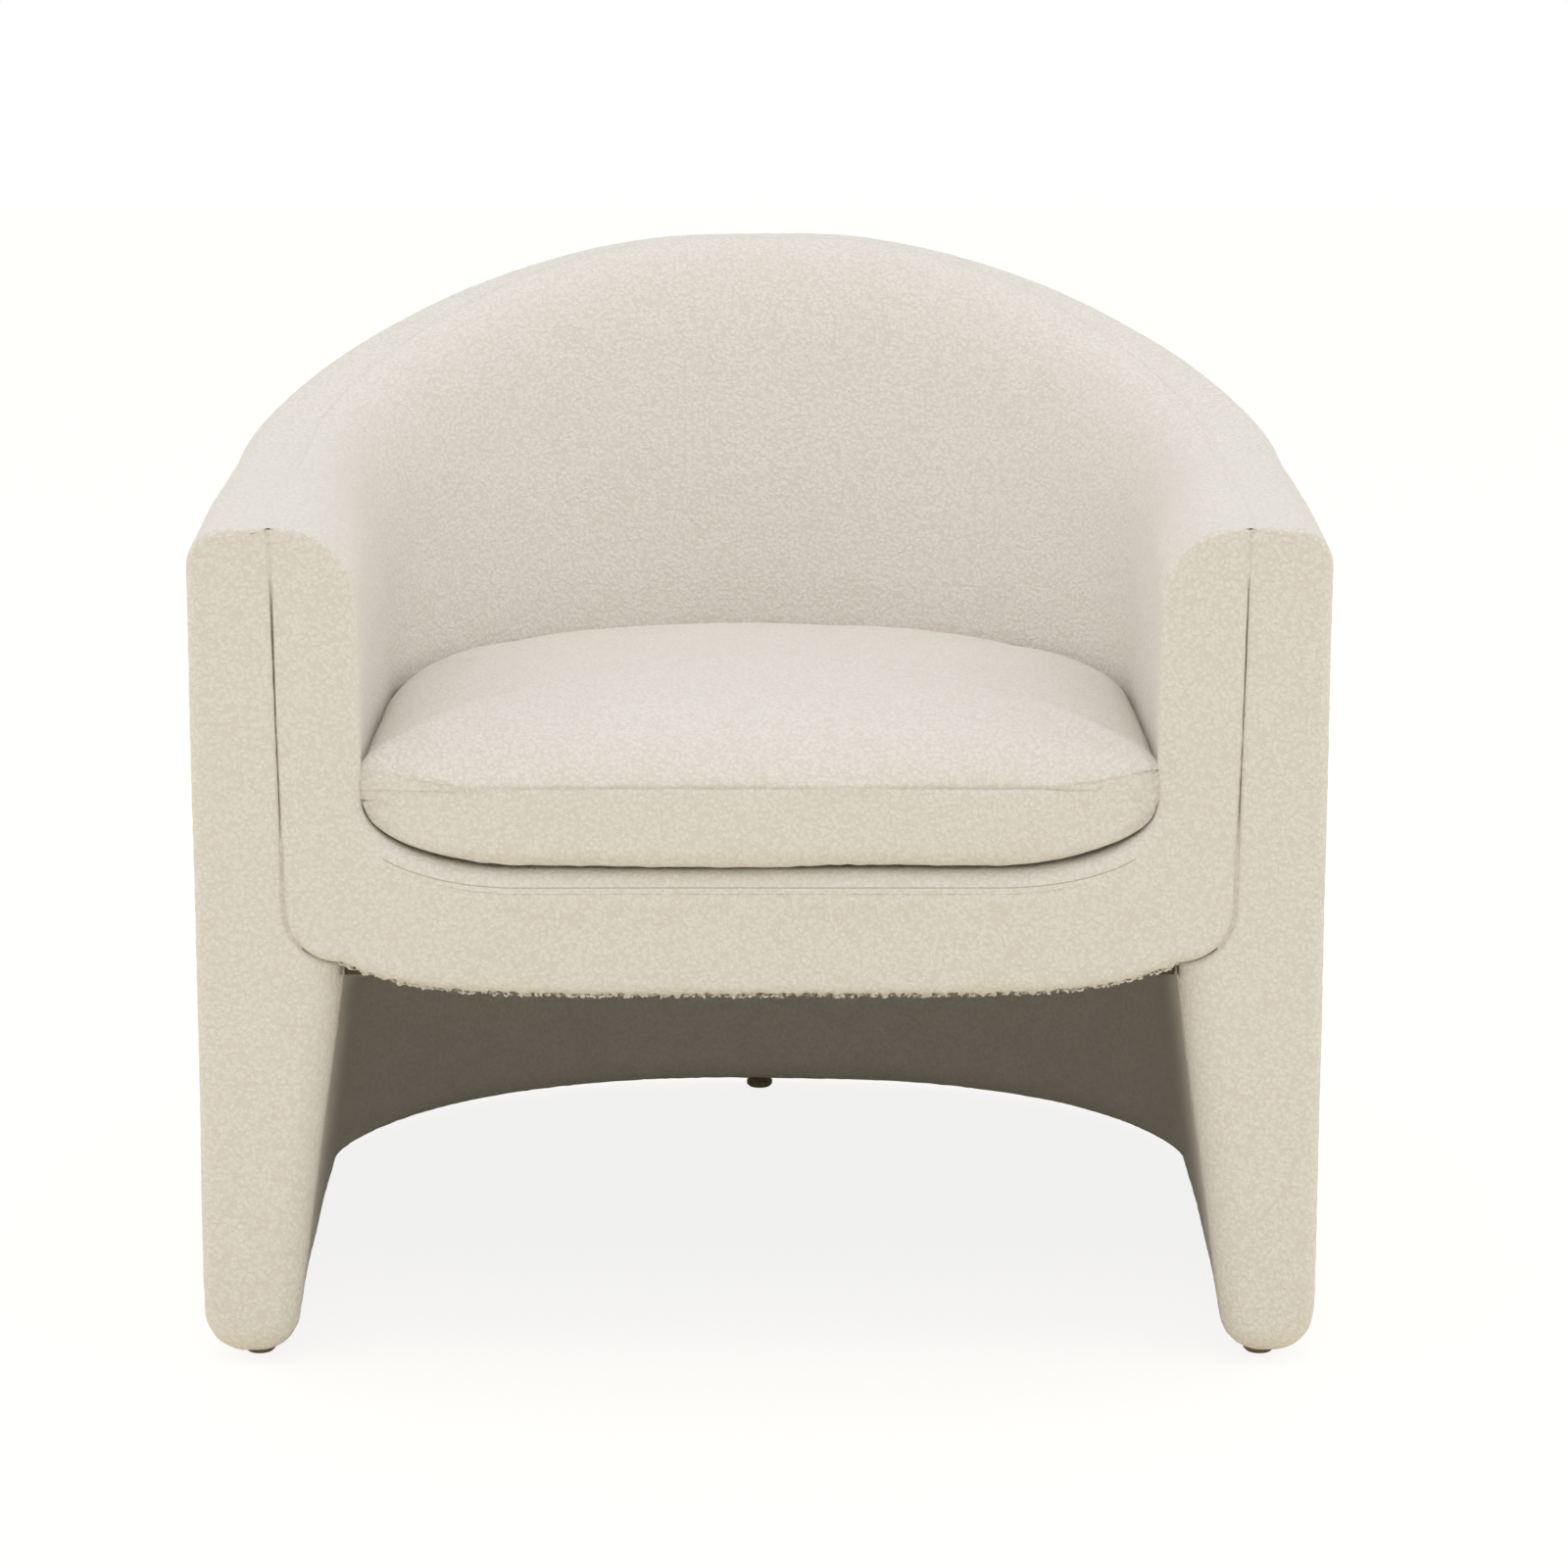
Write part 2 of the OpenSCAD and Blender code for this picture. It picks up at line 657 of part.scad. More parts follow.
roll_n = 4;
function roll_line(top, d) = arc([arm_thickness - roll_radius, top - roll_radius],
  roll_radius - d, 90, 0, roll_n);
function roll_points(y0, i, d) =
  let (top = rim(y0, i))
  [for (k = [0:roll_n - 1]) let (q = roll_line(top, d)[k])
    let (s = spot(shell, q[0], y0, i)) [s[0], s[1], q[1]]];
function tub_face(y0, i, t) = [
  tub_pt(y0, i, t, rim(y0, i) - roll_radius, 0), tub_pt(y0, i, t, contact_height, 0),
  tub_pt(y0, i, t, contact_height - 12, 1), tub_pt(y0, i, t, ring_top, 1)
];

foam_face = cloth + slack / 2;
module tub_foam() color("khaki") loft([for (i = [0:2 * last])
  let (top = rim(y_frame, i), back = arm_thickness - tub_padding)
  concat(
    on_shell(y_frame, i, [[back, top - rail_foot], [back, top - foam_face]]),
    roll_points(y_frame, i, foam_face), tub_face(y_frame, i, foam_face),
    [tub_pt(y_frame, i, tub_padding, ring_top, 0),
      tub_pt(y_frame, i, tub_padding, contact_height, 0)])]);

// Inside cover, cut away where the front of the tub passes under the opening
cover_foot = band_top + lip_h;
module tub_cover() color("ivory") difference() {
  loft([for (i = [0:2 * last])
    let (top = rim(y_leg_pad, i), start = shell_wall + fit)
    concat(
      on_shell(y_leg_pad, i, [[start, top]]),
      roll_points(y_leg_pad, i, 0), tub_face(y_leg_pad, i, 0),
      reversed(concat(
        on_shell(y_leg_pad, i, [[start, top - cloth]]),
        roll_points(y_leg_pad, i, cloth), tub_face(y_leg_pad, i, cloth))))], wrapped = true);
  translate([-width / 2, y_front, 0]) cube([width, front_pad + fit, cover_foot]);
}

module front_foam() color("khaki")
  front_plate(tub_outline(cloth + 2 * slack), y_leg_pad, y_frame - y_leg_pad);
module front_facing() color("ivory") front_plate(tub_outline(0), y_front, cloth);

// Strips of cloth that close the front pad: along the opening and under its lower edge
function lip_line(d) = concat(lip(d, 360, 270), mirror_all(lip(d, 270, 360)));
function hem_line(d) =
  [for (k = [-bow_n:bow_n]) let (x = tuck_x * k / bow_n) [x, bow(abs(x)) + d]];
module band_cloth() color("ivory") for (line = [0, 1])
  front_plate(line == 0 ? concat(lip_line(0), reversed(lip_line(cloth)))
    : concat(hem_line(0), reversed(hem_line(cloth))), y_leg_pad, y_frame - y_leg_pad);

// ---------------------------------------------------------------- glides

module glides() color("saddlebrown") for (q = glide_spots) translate([q[0], q[1], 0])
  rotate_extrude() polygon([[0, 0], [glide_d / 2 - 2, 0], [glide_d / 2, 2],
    [glide_d / 2, ground_gap - 3], [glide_d / 2 - 3, ground_gap], [0, ground_gap]]);

module glide_nails() color("silver") for (q = glide_spots)
  translate([q[0], q[1], ground_gap]) cylinder(d = nail_d, h = nail_l);

// ---------------------------------------------------------------- seat cushion

cushion_y0 = y_front + front_setback;
front_n = 6;

// Edge of the cushion, moved in by e: front corner, side, back, side, front corner, front
function cushion_edge(e) =
  let (r = cushion_front_corner - e, y0 = cushion_y0 + cushion_front_corner)
  let (x0 = side_x(cushion, 0, y0) - cushion_front_corner)
  let (right = arc([x0, y0], r, -90, -30, 2))
  concat(
    right, outline(cushion, e, y0), mirror_all(reversed(right)),
    [for (k = [1:front_n - 1]) let (u = 2 * k / front_n - 1)
      [x0 * u, cushion_y0 + e - front_bow * (1 - u * u)]]);
middle = [0, (cushion_y0 + cushion_rear) / 2];

// Rise of the underside near the front corners, over the opening's rounded lower corners
lip_fade = 60;
function lip_rise(q) =
  let (u = max(0, min(1, (abs(q[0]) - seat_front + lip_w) / lip_w)))
  let (near = ease((y_frame + lip_fade - q[1]) / lip_fade))
  near * (lip_h * (1 - sqrt(1 - u * u)) + fit + slack);

// Ring of the cushion: the edge drawn in to the share r of its size, at height z
function cushion_ring(e, r, z) =
  [for (q = cushion_edge(e)) let (s = middle + (q - middle) * r)
    [s[0], s[1], max(z, lip_rise(s) + e)]];

// Height of the crown and of the belly, d under the cloth's face, where a ring has share r
shares = [1, 0.985, 0.95, 0.89, 0.8, 0.66, 0.46, 0.2];
low_shares = [1, 0.985, 0.95, 0.89, 0.8, 0.6, 0.2];
seam_z = seam_rise + fit;
half_band = edge_band / 2;
function crown_z(r, d) =
  seam_z + half_band + (crown - half_band - d) * sqrt(1 - pow(r, 2.6));
function belly_z(r, d) =
  seam_z - half_band - (seam_rise - half_band - d) * sqrt(1 - pow(r, 8));
function upper_rings(d) = concat(
  [cushion_ring(d, 1, seam_z)], [for (r = shares) cushion_ring(d, r, crown_z(r, d))]);
function lower_rings(d) = concat(
  [for (r = reversed(low_shares)) cushion_ring(d, r, belly_z(r, d))],
  [cushion_ring(d, 1, seam_z)]);

module upper_body(d) loft(reversed(upper_rings(d)));
module lower_body(d) loft(reversed(lower_rings(d)));
module whole_body(d) loft(reversed(concat(
  lower_rings(d), [for (r = shares) cushion_ring(d, r, crown_z(r, d))])));

inner_face = cloth + fit;
core_face = inner_face + wrap;

module cushion_top_cover() color("ivory") on_deck() difference() {
  upper_body(0);
  translate([0, 0, -fit / 4]) upper_body(cloth);
}

module cushion_bottom_cover() color("ivory") on_deck() difference() {
  lower_body(0);
  translate([0, 0, fit / 4]) lower_body(cloth);
}

module cushion_wrap() color("whitesmoke") on_deck() difference() {
  whole_body(inner_face);
  whole_body(core_face);
}

module cushion_core() color("lemonchiffon") on_deck() whole_body(core_face + fit / 2);

// ---------------------------------------------------------------- zip

// Strip that follows the cushion's rear edge, from radius r0 to r1
module zip_strip(r0, r1, z0, z1, half_angle) {
  translate([0, cushion[YB], 0]) rotate([0, 0, 90 - half_angle])
    rotate_extrude(angle = 2 * half_angle, $fn = 180)
      translate([r0, z0]) square([r1 - r0, z1 - z0]);
}

tape_in = zip_radius + fit / 2;
tape_out = tape_in + tape_t;
teeth_out = tape_in + teeth_t;
tape_low = teeth_w + 0.5;

module zip_tape() color("ivory") on_deck() {
  zip_strip(tape_in, tape_out, seam_z + tape_low, seam_z + tape_low + tape_w, zip_half_angle);
  zip_strip(tape_in, tape_out, seam_z - tape_low - tape_w, seam_z - tape_low, zip_half_angle);
}

module zip_teeth() color("ivory") on_deck() {
  zip_strip(tape_in, teeth_out, seam_z + 0.1, seam_z + teeth_w, zip_half_angle);
  zip_strip(tape_in, teeth_out, seam_z - teeth_w, seam_z - 0.1, zip_half_angle);
}

stop_angle = 0.6;
module zip_stops() color("silver") on_deck() translate([0, cushion[YB], 0])
  for (side = [-1, 1]) rotate([0, 0, 90 + side * (zip_half_angle - stop_angle)])
    translate([teeth_out, -1.5, seam_z - teeth_w]) cube([1, 3, 2 * teeth_w]);

// The slider rests at the closed end; its frame has +X outwards and +Y along the zip
slider_angle = zip_half_angle - 2.4;
slider_h = 2 * teeth_w + 4.4;
slider_out = teeth_out + slider_fit + 1.2;
module at_slider() {
  on_deck() translate([0, cushion[YB], 0]) rotate([0, 0, 90 - slider_angle])
    translate([0, 0, seam_z]) children();
}

ear_t = 1.2;
ear_w = 2.4;
pin_d = 1.2;
pin_x = slider_out + ear_w / 2 + 0.2;
pull_w = 5;
pull_play = 0.3;
ear_z = pull_w / 2 + pull_play;
module ear() {
  translate([slider_out - fit, -ear_w / 2, 0]) cube([pin_x - slider_out + fit, ear_w, ear_t]);
  translate([pin_x, 0, 0]) cylinder(d = ear_w, h = ear_t);
}
module zip_slider() color("silver") at_slider() {
  difference() {
    translate([tape_out + slider_fit, -slider_l / 2, -slider_h / 2])
      cube([slider_out - tape_out - slider_fit, slider_l, slider_h]);
    translate([0, -slider_l, -teeth_w - slider_fit])
      cube([teeth_out + slider_fit, 2 * slider_l, 2 * (teeth_w + slider_fit)]);
  }
  for (z = [ear_z, -ear_z - ear_t]) translate([0, 0, z]) ear();
  translate([pin_x, 0, -ear_z]) cylinder(d = pin_d, h = 2 * ear_z);
}

// Flat tab that turns on the slider's pin and lies along the zip
pull_t = 1;
hole_d = pin_d + 0.1;
module zip_pull() color("silver") at_slider() translate([pin_x, 0, -pull_w / 2])
  difference() {
    union() {
      cylinder(d = ear_w, h = pull_w);
      translate([-pull_t / 2, ear_w / 3, 0]) cube([pull_t, pull_l - ear_w / 3, pull_w]);
    }
    translate([0, 0, -fit]) cylinder(d = hole_d, h = pull_w + 2 * fit);
  }

// ---------------------------------------------------------------- nodes

base_plate_lower();
base_plate_upper();
leg_panel_left();
leg_panel_right();
leg_blocks();
lower_ribs();
seat_ring();
upper_ribs();
top_rail();
outer_skin();
skirt_skin();
inner_back_board();
front_rail();
rear_rail();
side_rail_left();
side_rail_right();
corner_blocks();
frame_screws();
webbing_long();
webbing_cross();
deck_foam();
deck_cover();
side_foam_left();
side_foam_right();
back_foam_left();
back_foam_right();
leg_foam();
tub_foam();
front_foam();
outside_cover();
skirt_lining_left();
skirt_lining_right();
leg_facing_left();
leg_facing_right();
tub_cover();
front_facing();
band_cloth();
dust_cover();
glides();
glide_nails();
cushion_core();
cushion_wrap();
cushion_top_cover();
cushion_bottom_cover();
zip_tape();
zip_teeth();
zip_stops();
zip_slider();
zip_pull();
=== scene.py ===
# %% [markdown]
# # A barrel armchair in looped cloth
# The chair is a horseshoe shell that stands on its own padded edge, with a padded tub set
# inside it and a loose cushion on the tub's deck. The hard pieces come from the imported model.
# Everything soft is made here, as cloth drawn over padding, with its seams and its loops.

# %% Load the frame
import json
import math

import bmesh
import bpy
import numpy as np
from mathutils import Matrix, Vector
from mathutils.bvhtree import BVHTree
from mathutils.kdtree import KDTree

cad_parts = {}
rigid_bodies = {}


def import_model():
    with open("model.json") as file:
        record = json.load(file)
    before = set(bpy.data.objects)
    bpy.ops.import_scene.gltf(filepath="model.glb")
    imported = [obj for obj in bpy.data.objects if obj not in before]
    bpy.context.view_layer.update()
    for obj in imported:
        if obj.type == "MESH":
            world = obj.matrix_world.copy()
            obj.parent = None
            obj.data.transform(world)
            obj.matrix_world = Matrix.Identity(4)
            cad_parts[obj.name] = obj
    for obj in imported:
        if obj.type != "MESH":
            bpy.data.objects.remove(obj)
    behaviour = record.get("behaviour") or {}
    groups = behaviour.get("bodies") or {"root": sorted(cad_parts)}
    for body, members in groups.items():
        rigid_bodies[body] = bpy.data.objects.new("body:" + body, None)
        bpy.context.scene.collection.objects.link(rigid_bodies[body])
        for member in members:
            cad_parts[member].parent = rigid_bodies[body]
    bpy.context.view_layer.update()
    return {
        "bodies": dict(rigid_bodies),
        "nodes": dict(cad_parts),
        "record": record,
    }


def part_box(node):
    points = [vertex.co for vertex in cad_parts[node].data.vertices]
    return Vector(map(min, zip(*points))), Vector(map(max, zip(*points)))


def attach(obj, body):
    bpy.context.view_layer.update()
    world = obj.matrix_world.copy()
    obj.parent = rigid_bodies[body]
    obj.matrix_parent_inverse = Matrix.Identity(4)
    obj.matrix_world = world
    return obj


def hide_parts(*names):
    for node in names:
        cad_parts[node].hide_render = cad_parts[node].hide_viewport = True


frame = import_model()
MM = 0.001
print("bodies:", ", ".join(frame["bodies"]))

# %% [markdown]
# ## Sizes
# The chair's main sizes are read from the boxes of its hard pieces. The radii that a box
# can't tell, such as those of the plan's corners, are the pattern maker's own values.

# %% Sizes of the shell and the tub
wrap_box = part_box("outside_cover")
leg_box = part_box("leg_facing_right")
band_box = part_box("front_facing")
deck_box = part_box("deck_cover")

FRONT = leg_box[0][1]
REAR = wrap_box[1][1]
HALF = wrap_box[1][0]
GROUND_GAP = wrap_box[0][2]
BACK_TOP = wrap_box[1][2]
ARM_TOP = leg_box[1][2]
TUB_LOW_MIDDLE = band_box[0][2]

# The shell: its wall, its padded edge, the same two at the foot, and how much thicker the
# wall gets for each metre up.
SHELL_WALL = 57 * MM
EDGE = 28 * MM
FOOT_WALL = 67 * MM
FOOT_EDGE = 30 * MM
TAPER = 0.143
SKIRT_TOP = 283 * MM

# The tub: its arm and the roll on it, where its inside face starts to lean, the room behind
# the cushion, its lowest point at the sides, and the radius of its lower corners.
ARM = 117 * MM
ROLL = 50 * MM
CONTACT = 430 * MM
CREVICE = 16 * MM
TUB_LOW_SIDE = 296 * MM
TUCK = 40 * MM
print("front", FRONT, "half width", HALF, "arm", ARM_TOP, "back", BACK_TOP)

# %% [markdown]
# ## The plan
# Seen from above, the shell and the seat are both a D that is open at the front: sides that
# bow out a little, round corners and a flatter back, all of them arcs that meet smoothly.
# A place on it is one number, from 0 at the front right over 2 behind to 4 at the front left.

# %% A plan of tangent arcs
RIGHT_ANGLE = math.pi / 2
MIRROR, MIRROR_FLAT = [-1, 1, 1], [-1, 1]


def from_front(along):
    """How far each place lies from the front of its own side, 0 to 2."""
    return np.where(along <= 2, along, 4 - along)


def eased(share):
    """A ramp from 0 to 1 with a soft start and a soft end."""
    return share * share * (3 - 2 * share)


class Plan:
    """A D: half its width, its rear, and the radii of its corners, its back and its sides."""

    def __init__(self, half, rear, corner, back, side=9.0):
        self.half, self.corner, self.back, self.side = half, corner, back, side
        self.corner_x = half - corner
        self.back_y = rear - back
        rise = math.sqrt((back - corner) ** 2 - self.corner_x**2)
        self.turn_y = self.back_y + rise
        self.join = math.atan2(rise, self.corner_x)

    def side_x(self, inset, y):
        """Where the side lies at each y, moved inwards by the inset."""
        return self.half - self.side + np.sqrt((self.side - inset) ** 2 - (y - self.turn_y) ** 2)

    def place(self, inset, along, start=FRONT):
        """The x and y of each place along the plan."""
        half_way = from_front(along)
        y_side = start + (self.turn_y - start) * np.clip(half_way, 0, 1)
        angle = np.clip(half_way - 1, 0, 1) * RIGHT_ANGLE
        cos, sin = np.cos(angle), np.sin(angle)
        on_side, on_back = half_way < 1, angle >= self.join
        radius = np.where(on_back, self.back, self.corner) - inset
        x_turn = np.where(on_back, 0.0, self.corner_x) + radius * cos
        y_turn = np.where(on_back, self.back_y, self.turn_y) + radius * sin
        x = np.where(on_side, self.side_x(inset, y_side), x_turn)
        y = np.where(on_side, y_side, y_turn)
        return np.where(along <= 2, x, -x), y + 0 * x

    def columns(self, step, start=FRONT):
        """Places along the plan that lie about a step apart."""
        side = round((self.turn_y - start) / step)
        corner = round(self.corner * self.join / step)
        back = round(self.back * (RIGHT_ANGLE - self.join) / step)
        share = self.join / RIGHT_ANGLE
        half = np.concatenate([
            np.linspace(0, 1, side, endpoint=False),
            1 + np.linspace(0, share, corner, endpoint=False),
            1 + np.linspace(share, 1, back + 1),
        ])
        return np.concatenate([half, 4 - half[-2::-1]])


SEAT_HALF, SEAT_DEPTH = 0.285, 0.602
shell = Plan(HALF, REAR, corner=0.350, back=1.000)
seat = Plan(SEAT_HALF, FRONT + SEAT_DEPTH, corner=0.201, back=0.331)
FRONT_HALF = float(shell.side_x(0.0, FRONT))
SEAT_FRONT = float(seat.side_x(0.0, FRONT))
for name, plan in (("shell", shell), ("seat", seat)):
    print(f"{name} turns into its back at {math.degrees(plan.join):.1f} degrees")

# %% The rim climbs from the arms to the back
RISE_START, RISE_RUN = 0.360, 0.640


def rim(along):
    """The rim's height at each place along the plan."""
    half_way = from_front(along)
    angle = np.clip(half_way - 1, 0, 1) * RIGHT_ANGLE
    run = (shell.turn_y - FRONT) * np.clip(half_way, 0, 1)
    run = run + shell.corner * np.minimum(angle, shell.join)
    run = run + shell.back * np.maximum(angle - shell.join, 0)
    share = np.clip((run - RISE_START) / RISE_RUN, 0, 1)
    return ARM_TOP + (BACK_TOP - ARM_TOP) * eased(share)


def skirt(z):
    """The thickness of the wall at a height under the seat."""
    return FOOT_WALL + TAPER * (z - GROUND_GAP - FOOT_EDGE)


print("rim at the middle of the back:", float(rim(np.array(2.0))))

# %% [markdown]
# ## Making meshes
# Each piece is sewn from blocks of points in rows and columns. The blocks share their edge
# points, so they are welded into one skin. A little unevenness keeps it from looking turned
# on a lathe: long soft waves from the padding, and a small lift and dip at every loop.

# %% Arcs, blocks and pieces
WELD = 0.02 * MM
NO_AREA = 1e-10


def arc(centre, radius, start, end, count):
    """Points round a centre, from one angle in degrees to another."""
    turn = np.radians(np.linspace(start, end, count))
    return np.stack([centre[0] + radius * np.cos(turn), centre[1] + radius * np.sin(turn)], 1)


def line(a, b, count):
    return np.linspace(np.asarray(a, float), np.asarray(b, float), count)


def new_object(name, data):
    thing = bpy.data.objects.new(name, data)
    bpy.context.scene.collection.objects.link(thing)
    return thing


class Pattern:
    """Blocks of points in rows and columns, to be sewn into one skin."""

    def __init__(self):
        self.points, self.faces, self.count = [], [], 0

    def block(self, points, wrap=False):
        rows, cols = points.shape[:2]
        index = self.count + np.arange(rows * cols).reshape(rows, cols)
        if wrap:
            index = np.concatenate([index, index[:, :1]], 1)
        quads = np.stack([index[:-1, :-1], index[:-1, 1:], index[1:, 1:], index[1:, :-1]], -1)
        self.points.append(points.reshape(-1, 3))
        self.faces.append(quads.reshape(-1, 4))
        self.count += rows * cols

    def mirrored(self):
        """Adds the other half of what lies there."""
        points = np.concatenate(self.points) * MIRROR
        faces = np.concatenate(self.faces)[:, ::-1] + self.count
        self.points.append(points)
        self.faces.append(faces)
        self.count += len(points)

    def sew(self, name, outward):
        """One welded mesh object; outward(points) gives a direction that normals follow."""
        mesh = bpy.data.meshes.new(name)
        mesh.from_pydata(np.concatenate(self.points).tolist(), [],
                         np.concatenate(self.faces).tolist())
        sewn = bmesh.new()
        sewn.from_mesh(mesh)
        bmesh.ops.remove_doubles(sewn, verts=sewn.verts, dist=WELD)
        loose = [f for f in sewn.faces if f.calc_area() < NO_AREA]
        bmesh.ops.delete(sewn, geom=loose, context="FACES_ONLY")
        alone = [v for v in sewn.verts if not v.link_faces]
        bmesh.ops.delete(sewn, geom=alone, context="VERTS")
        bmesh.ops.recalc_face_normals(sewn, faces=sewn.faces)
        agree = sum(f.normal.dot(Vector(outward(f.calc_center_median()))) * f.calc_area()
                    for f in sewn.faces)
        if agree < 0:
            bmesh.ops.reverse_faces(sewn, faces=sewn.faces)
        sewn.to_mesh(mesh)
        sewn.free()
        mesh.shade_smooth()
        return new_object(name, mesh)


# %% Moving the points of a piece
LONG_WAVE, SHORT_WAVE = 0.16, 0.012


def coordinates(thing):
    flat = np.zeros(len(thing.data.vertices) * 3)
    thing.data.vertices.foreach_get("co", flat)
    return flat.reshape(-1, 3)


def set_coordinates(thing, points):
    thing.data.vertices.foreach_set("co", np.ascontiguousarray(points).ravel())
    thing.data.update()


def normals(thing):
    flat = np.zeros(len(thing.data.vertices) * 3, np.float32)
    thing.data.vertex_normals.foreach_get("vector", flat)
    return flat.reshape(-1, 3).astype(float)


def waves(points, length, seed):
    """Smooth unevenness, about -1 to 1, with humps about that length apart."""
    dice = np.random.default_rng(seed)
    total = np.zeros(len(points))
    for _ in range(7):
        way = dice.normal(size=3)
        way *= 2 * math.pi / (length * dice.uniform(0.7, 1.5) * np.linalg.norm(way))
        total += np.sin(points @ way + dice.uniform(0, 2 * math.pi))
    return total / 4


def loosen(thing, soft, loops, seed):
    """Moves the skin by soft in long waves and by loops at each small loop of the cloth."""
    points = coordinates(thing)
    dice = np.random.default_rng(seed)
    lift = soft * waves(points, LONG_WAVE, seed) + loops * waves(points, SHORT_WAVE, seed + 1)
    lift = lift + loops * dice.uniform(-1, 1, len(points))
    set_coordinates(thing, points + normals(thing) * lift[:, None])


print("pattern tools ready")

# %% [markdown]
# ## Rounded fronts
# The front of a leg is a flat panel whose edges roll back into the side, the sole and the
# lining, each with its own softness. A loop of points goes round the panel. Rows of that loop
# step forwards and inwards along a quarter circle, and a patch of rows closes the middle.

# %% Chains and loops


def run_along(points):
    """How far each point lies from the first, along the line."""
    return np.concatenate([[0], np.cumsum(np.linalg.norm(np.diff(points, axis=0), axis=1))])


def resample(points, count):
    """That many points at even distances along a line, its ends kept."""
    points = np.asarray(points, float)
    run = run_along(points)
    wanted = np.linspace(0, run[-1], count)
    return np.stack([np.interp(wanted, run, points[:, k]) for k in range(2)], 1)


def join(*chains):
    """Chains end to end, without doubling the points where they meet."""
    return np.concatenate([chains[0]] + [c[1:] for c in chains[1:]])


def inward(loop):
    """Unit normals of a closed loop, towards its middle."""
    along = np.roll(loop, -1, 0) - np.roll(loop, 1, 0)
    across = np.stack([-along[:, 1], along[:, 0]], 1)
    across /= np.linalg.norm(across, axis=1)[:, None]
    area = np.sum(loop[:, 0] * np.roll(loop[:, 1], -1) - np.roll(loop[:, 0], -1) * loop[:, 1])
    return across if area > 0 else -across


def softened(values, reach):
    """Evens out values that go round a loop."""
    for _ in range(reach):
        values = (np.roll(values, 1) + 2 * values + np.roll(values, -1)) / 4
    return values


def slow_curve(t, start, one, two, end):
    """A curve from start to end that leaves towards one and arrives from two."""
    return ((1 - t) ** 3 * start + 3 * (1 - t) ** 2 * t * one
            + 3 * (1 - t) * t**2 * two + t**3 * end)


def bridge(points, first, last, reach):
    """Swaps the points between two places of a loop for one smooth bend."""
    start, end = points[first], points[last]
    leave = (start - points[first - 2]) / np.linalg.norm(start - points[first - 2])
    arrive = (points[last + 2] - end) / np.linalg.norm(points[last + 2] - end)
    t = np.linspace(0, 1, last - first + 1)[:, None]
    points[first:last + 1] = slow_curve(t, start, start + leave * reach,
                                        end - arrive * reach, end)


print("loop tools ready")

# %% Quarter rounds and patches
ROLL_STEPS = 9

# A notch's depth, how far of the roll's turn it reaches to each side, and the share of its
# depth that goes each way, because it is cut half way between sideways and backwards.
NOTCH = 0.2 * MM
NOTCH_TURN = 0.2
DIAGONAL = 0.7


def quarter_round(loop, shift, radii, place, notched):
    """Rows that roll from the loop, a radius behind the front, to a shifted loop in front.

    Where notched is 1, the seam of the panel makes a small notch half way round the roll.
    """
    towards = inward(loop)
    rows = []
    for turn in np.linspace(0, RIGHT_ANGLE, ROLL_STEPS):
        near_seam = max(0.0, 1 - abs(turn - RIGHT_ANGLE / 2) / NOTCH_TURN)
        dip = DIAGONAL * NOTCH * notched * near_seam
        flat = loop + shift * (1 - math.cos(turn)) + towards * dip[:, None]
        rows.append(place(flat[:, 0], FRONT + (radii * (1 - math.sin(turn)) + dip), flat[:, 1]))
    return np.stack(rows)


def patch(low, high, left, right):
    """A grid between four chains: low and high run along u, left and right along v."""
    u = np.linspace(0, 1, len(low))[None, :, None]
    v = np.linspace(0, 1, len(left))[:, None, None]
    rows = (1 - v) * low[None] + v * high[None]
    columns = (1 - u) * left[:, None] + u * right[:, None]
    corners = ((1 - u) * (1 - v) * low[0] + u * (1 - v) * low[-1]
               + (1 - u) * v * high[0] + u * v * high[-1])
    return rows + columns - corners


print("a roll has", ROLL_STEPS, "rows")

# %% [markdown]
# ## The shell's cloth
# One cloth wraps the shell: over the rim, down the outside, round the padded sole and up the
# lining under the seat, with a panel sewn in at the front of each leg. The section below is
# that wrap, and it travels round the plan while its rim climbs.

# %% Section of the shell
LIP = 1.5 * MM
TIP_OVER = 2 * MM
GROOVE_LEAN = 5 * MM
TUCK_X = FRONT_HALF - SHELL_WALL - GROOVE_LEAN - TUCK
TUCK_Z = TUB_LOW_SIDE + TUCK
tip = [FRONT_HALF - TUCK_X + TIP_OVER, TUB_LOW_SIDE]
sole = GROUND_GAP + EDGE
instep = [FOOT_WALL - FOOT_EDGE, GROUND_GAP + FOOT_EDGE]
outer_turn = arc([EDGE, sole], EDGE, 225, 180, 8)
outer_rise = line([0, sole], [0, ARM_TOP - EDGE], 104)
outer_top = arc([EDGE, ARM_TOP - EDGE], EDGE, 180, 135, 6)
OUTER = join(outer_turn, outer_rise, outer_top)
TOP = resample(join(arc([EDGE, ARM_TOP - EDGE], EDGE, 135, 90, 12),
                    arc([SHELL_WALL - LIP, ARM_TOP - LIP], LIP, 90, 45, 6)), 12)
BOTTOM = resample(join(arc([EDGE, sole], EDGE, 225, 270, 12),
                       arc(instep, FOOT_EDGE, 270, 315, 12)), 12)
foot_turn = arc(instep, FOOT_EDGE, 315, 360, 8)
lining_rise = line([FOOT_WALL, instep[1]], [skirt(SKIRT_TOP), SKIRT_TOP], 44)
under_tuck = resample(join(np.array([lining_rise[-1], tip]),
                           arc([FRONT_HALF - TUCK_X, TUCK_Z], TUCK, 270, 180, 20)), 18)
groove_rise = line([FRONT_HALF - TUCK_X - TUCK, TUCK_Z], [SHELL_WALL, ARM_TOP - LIP], 44)
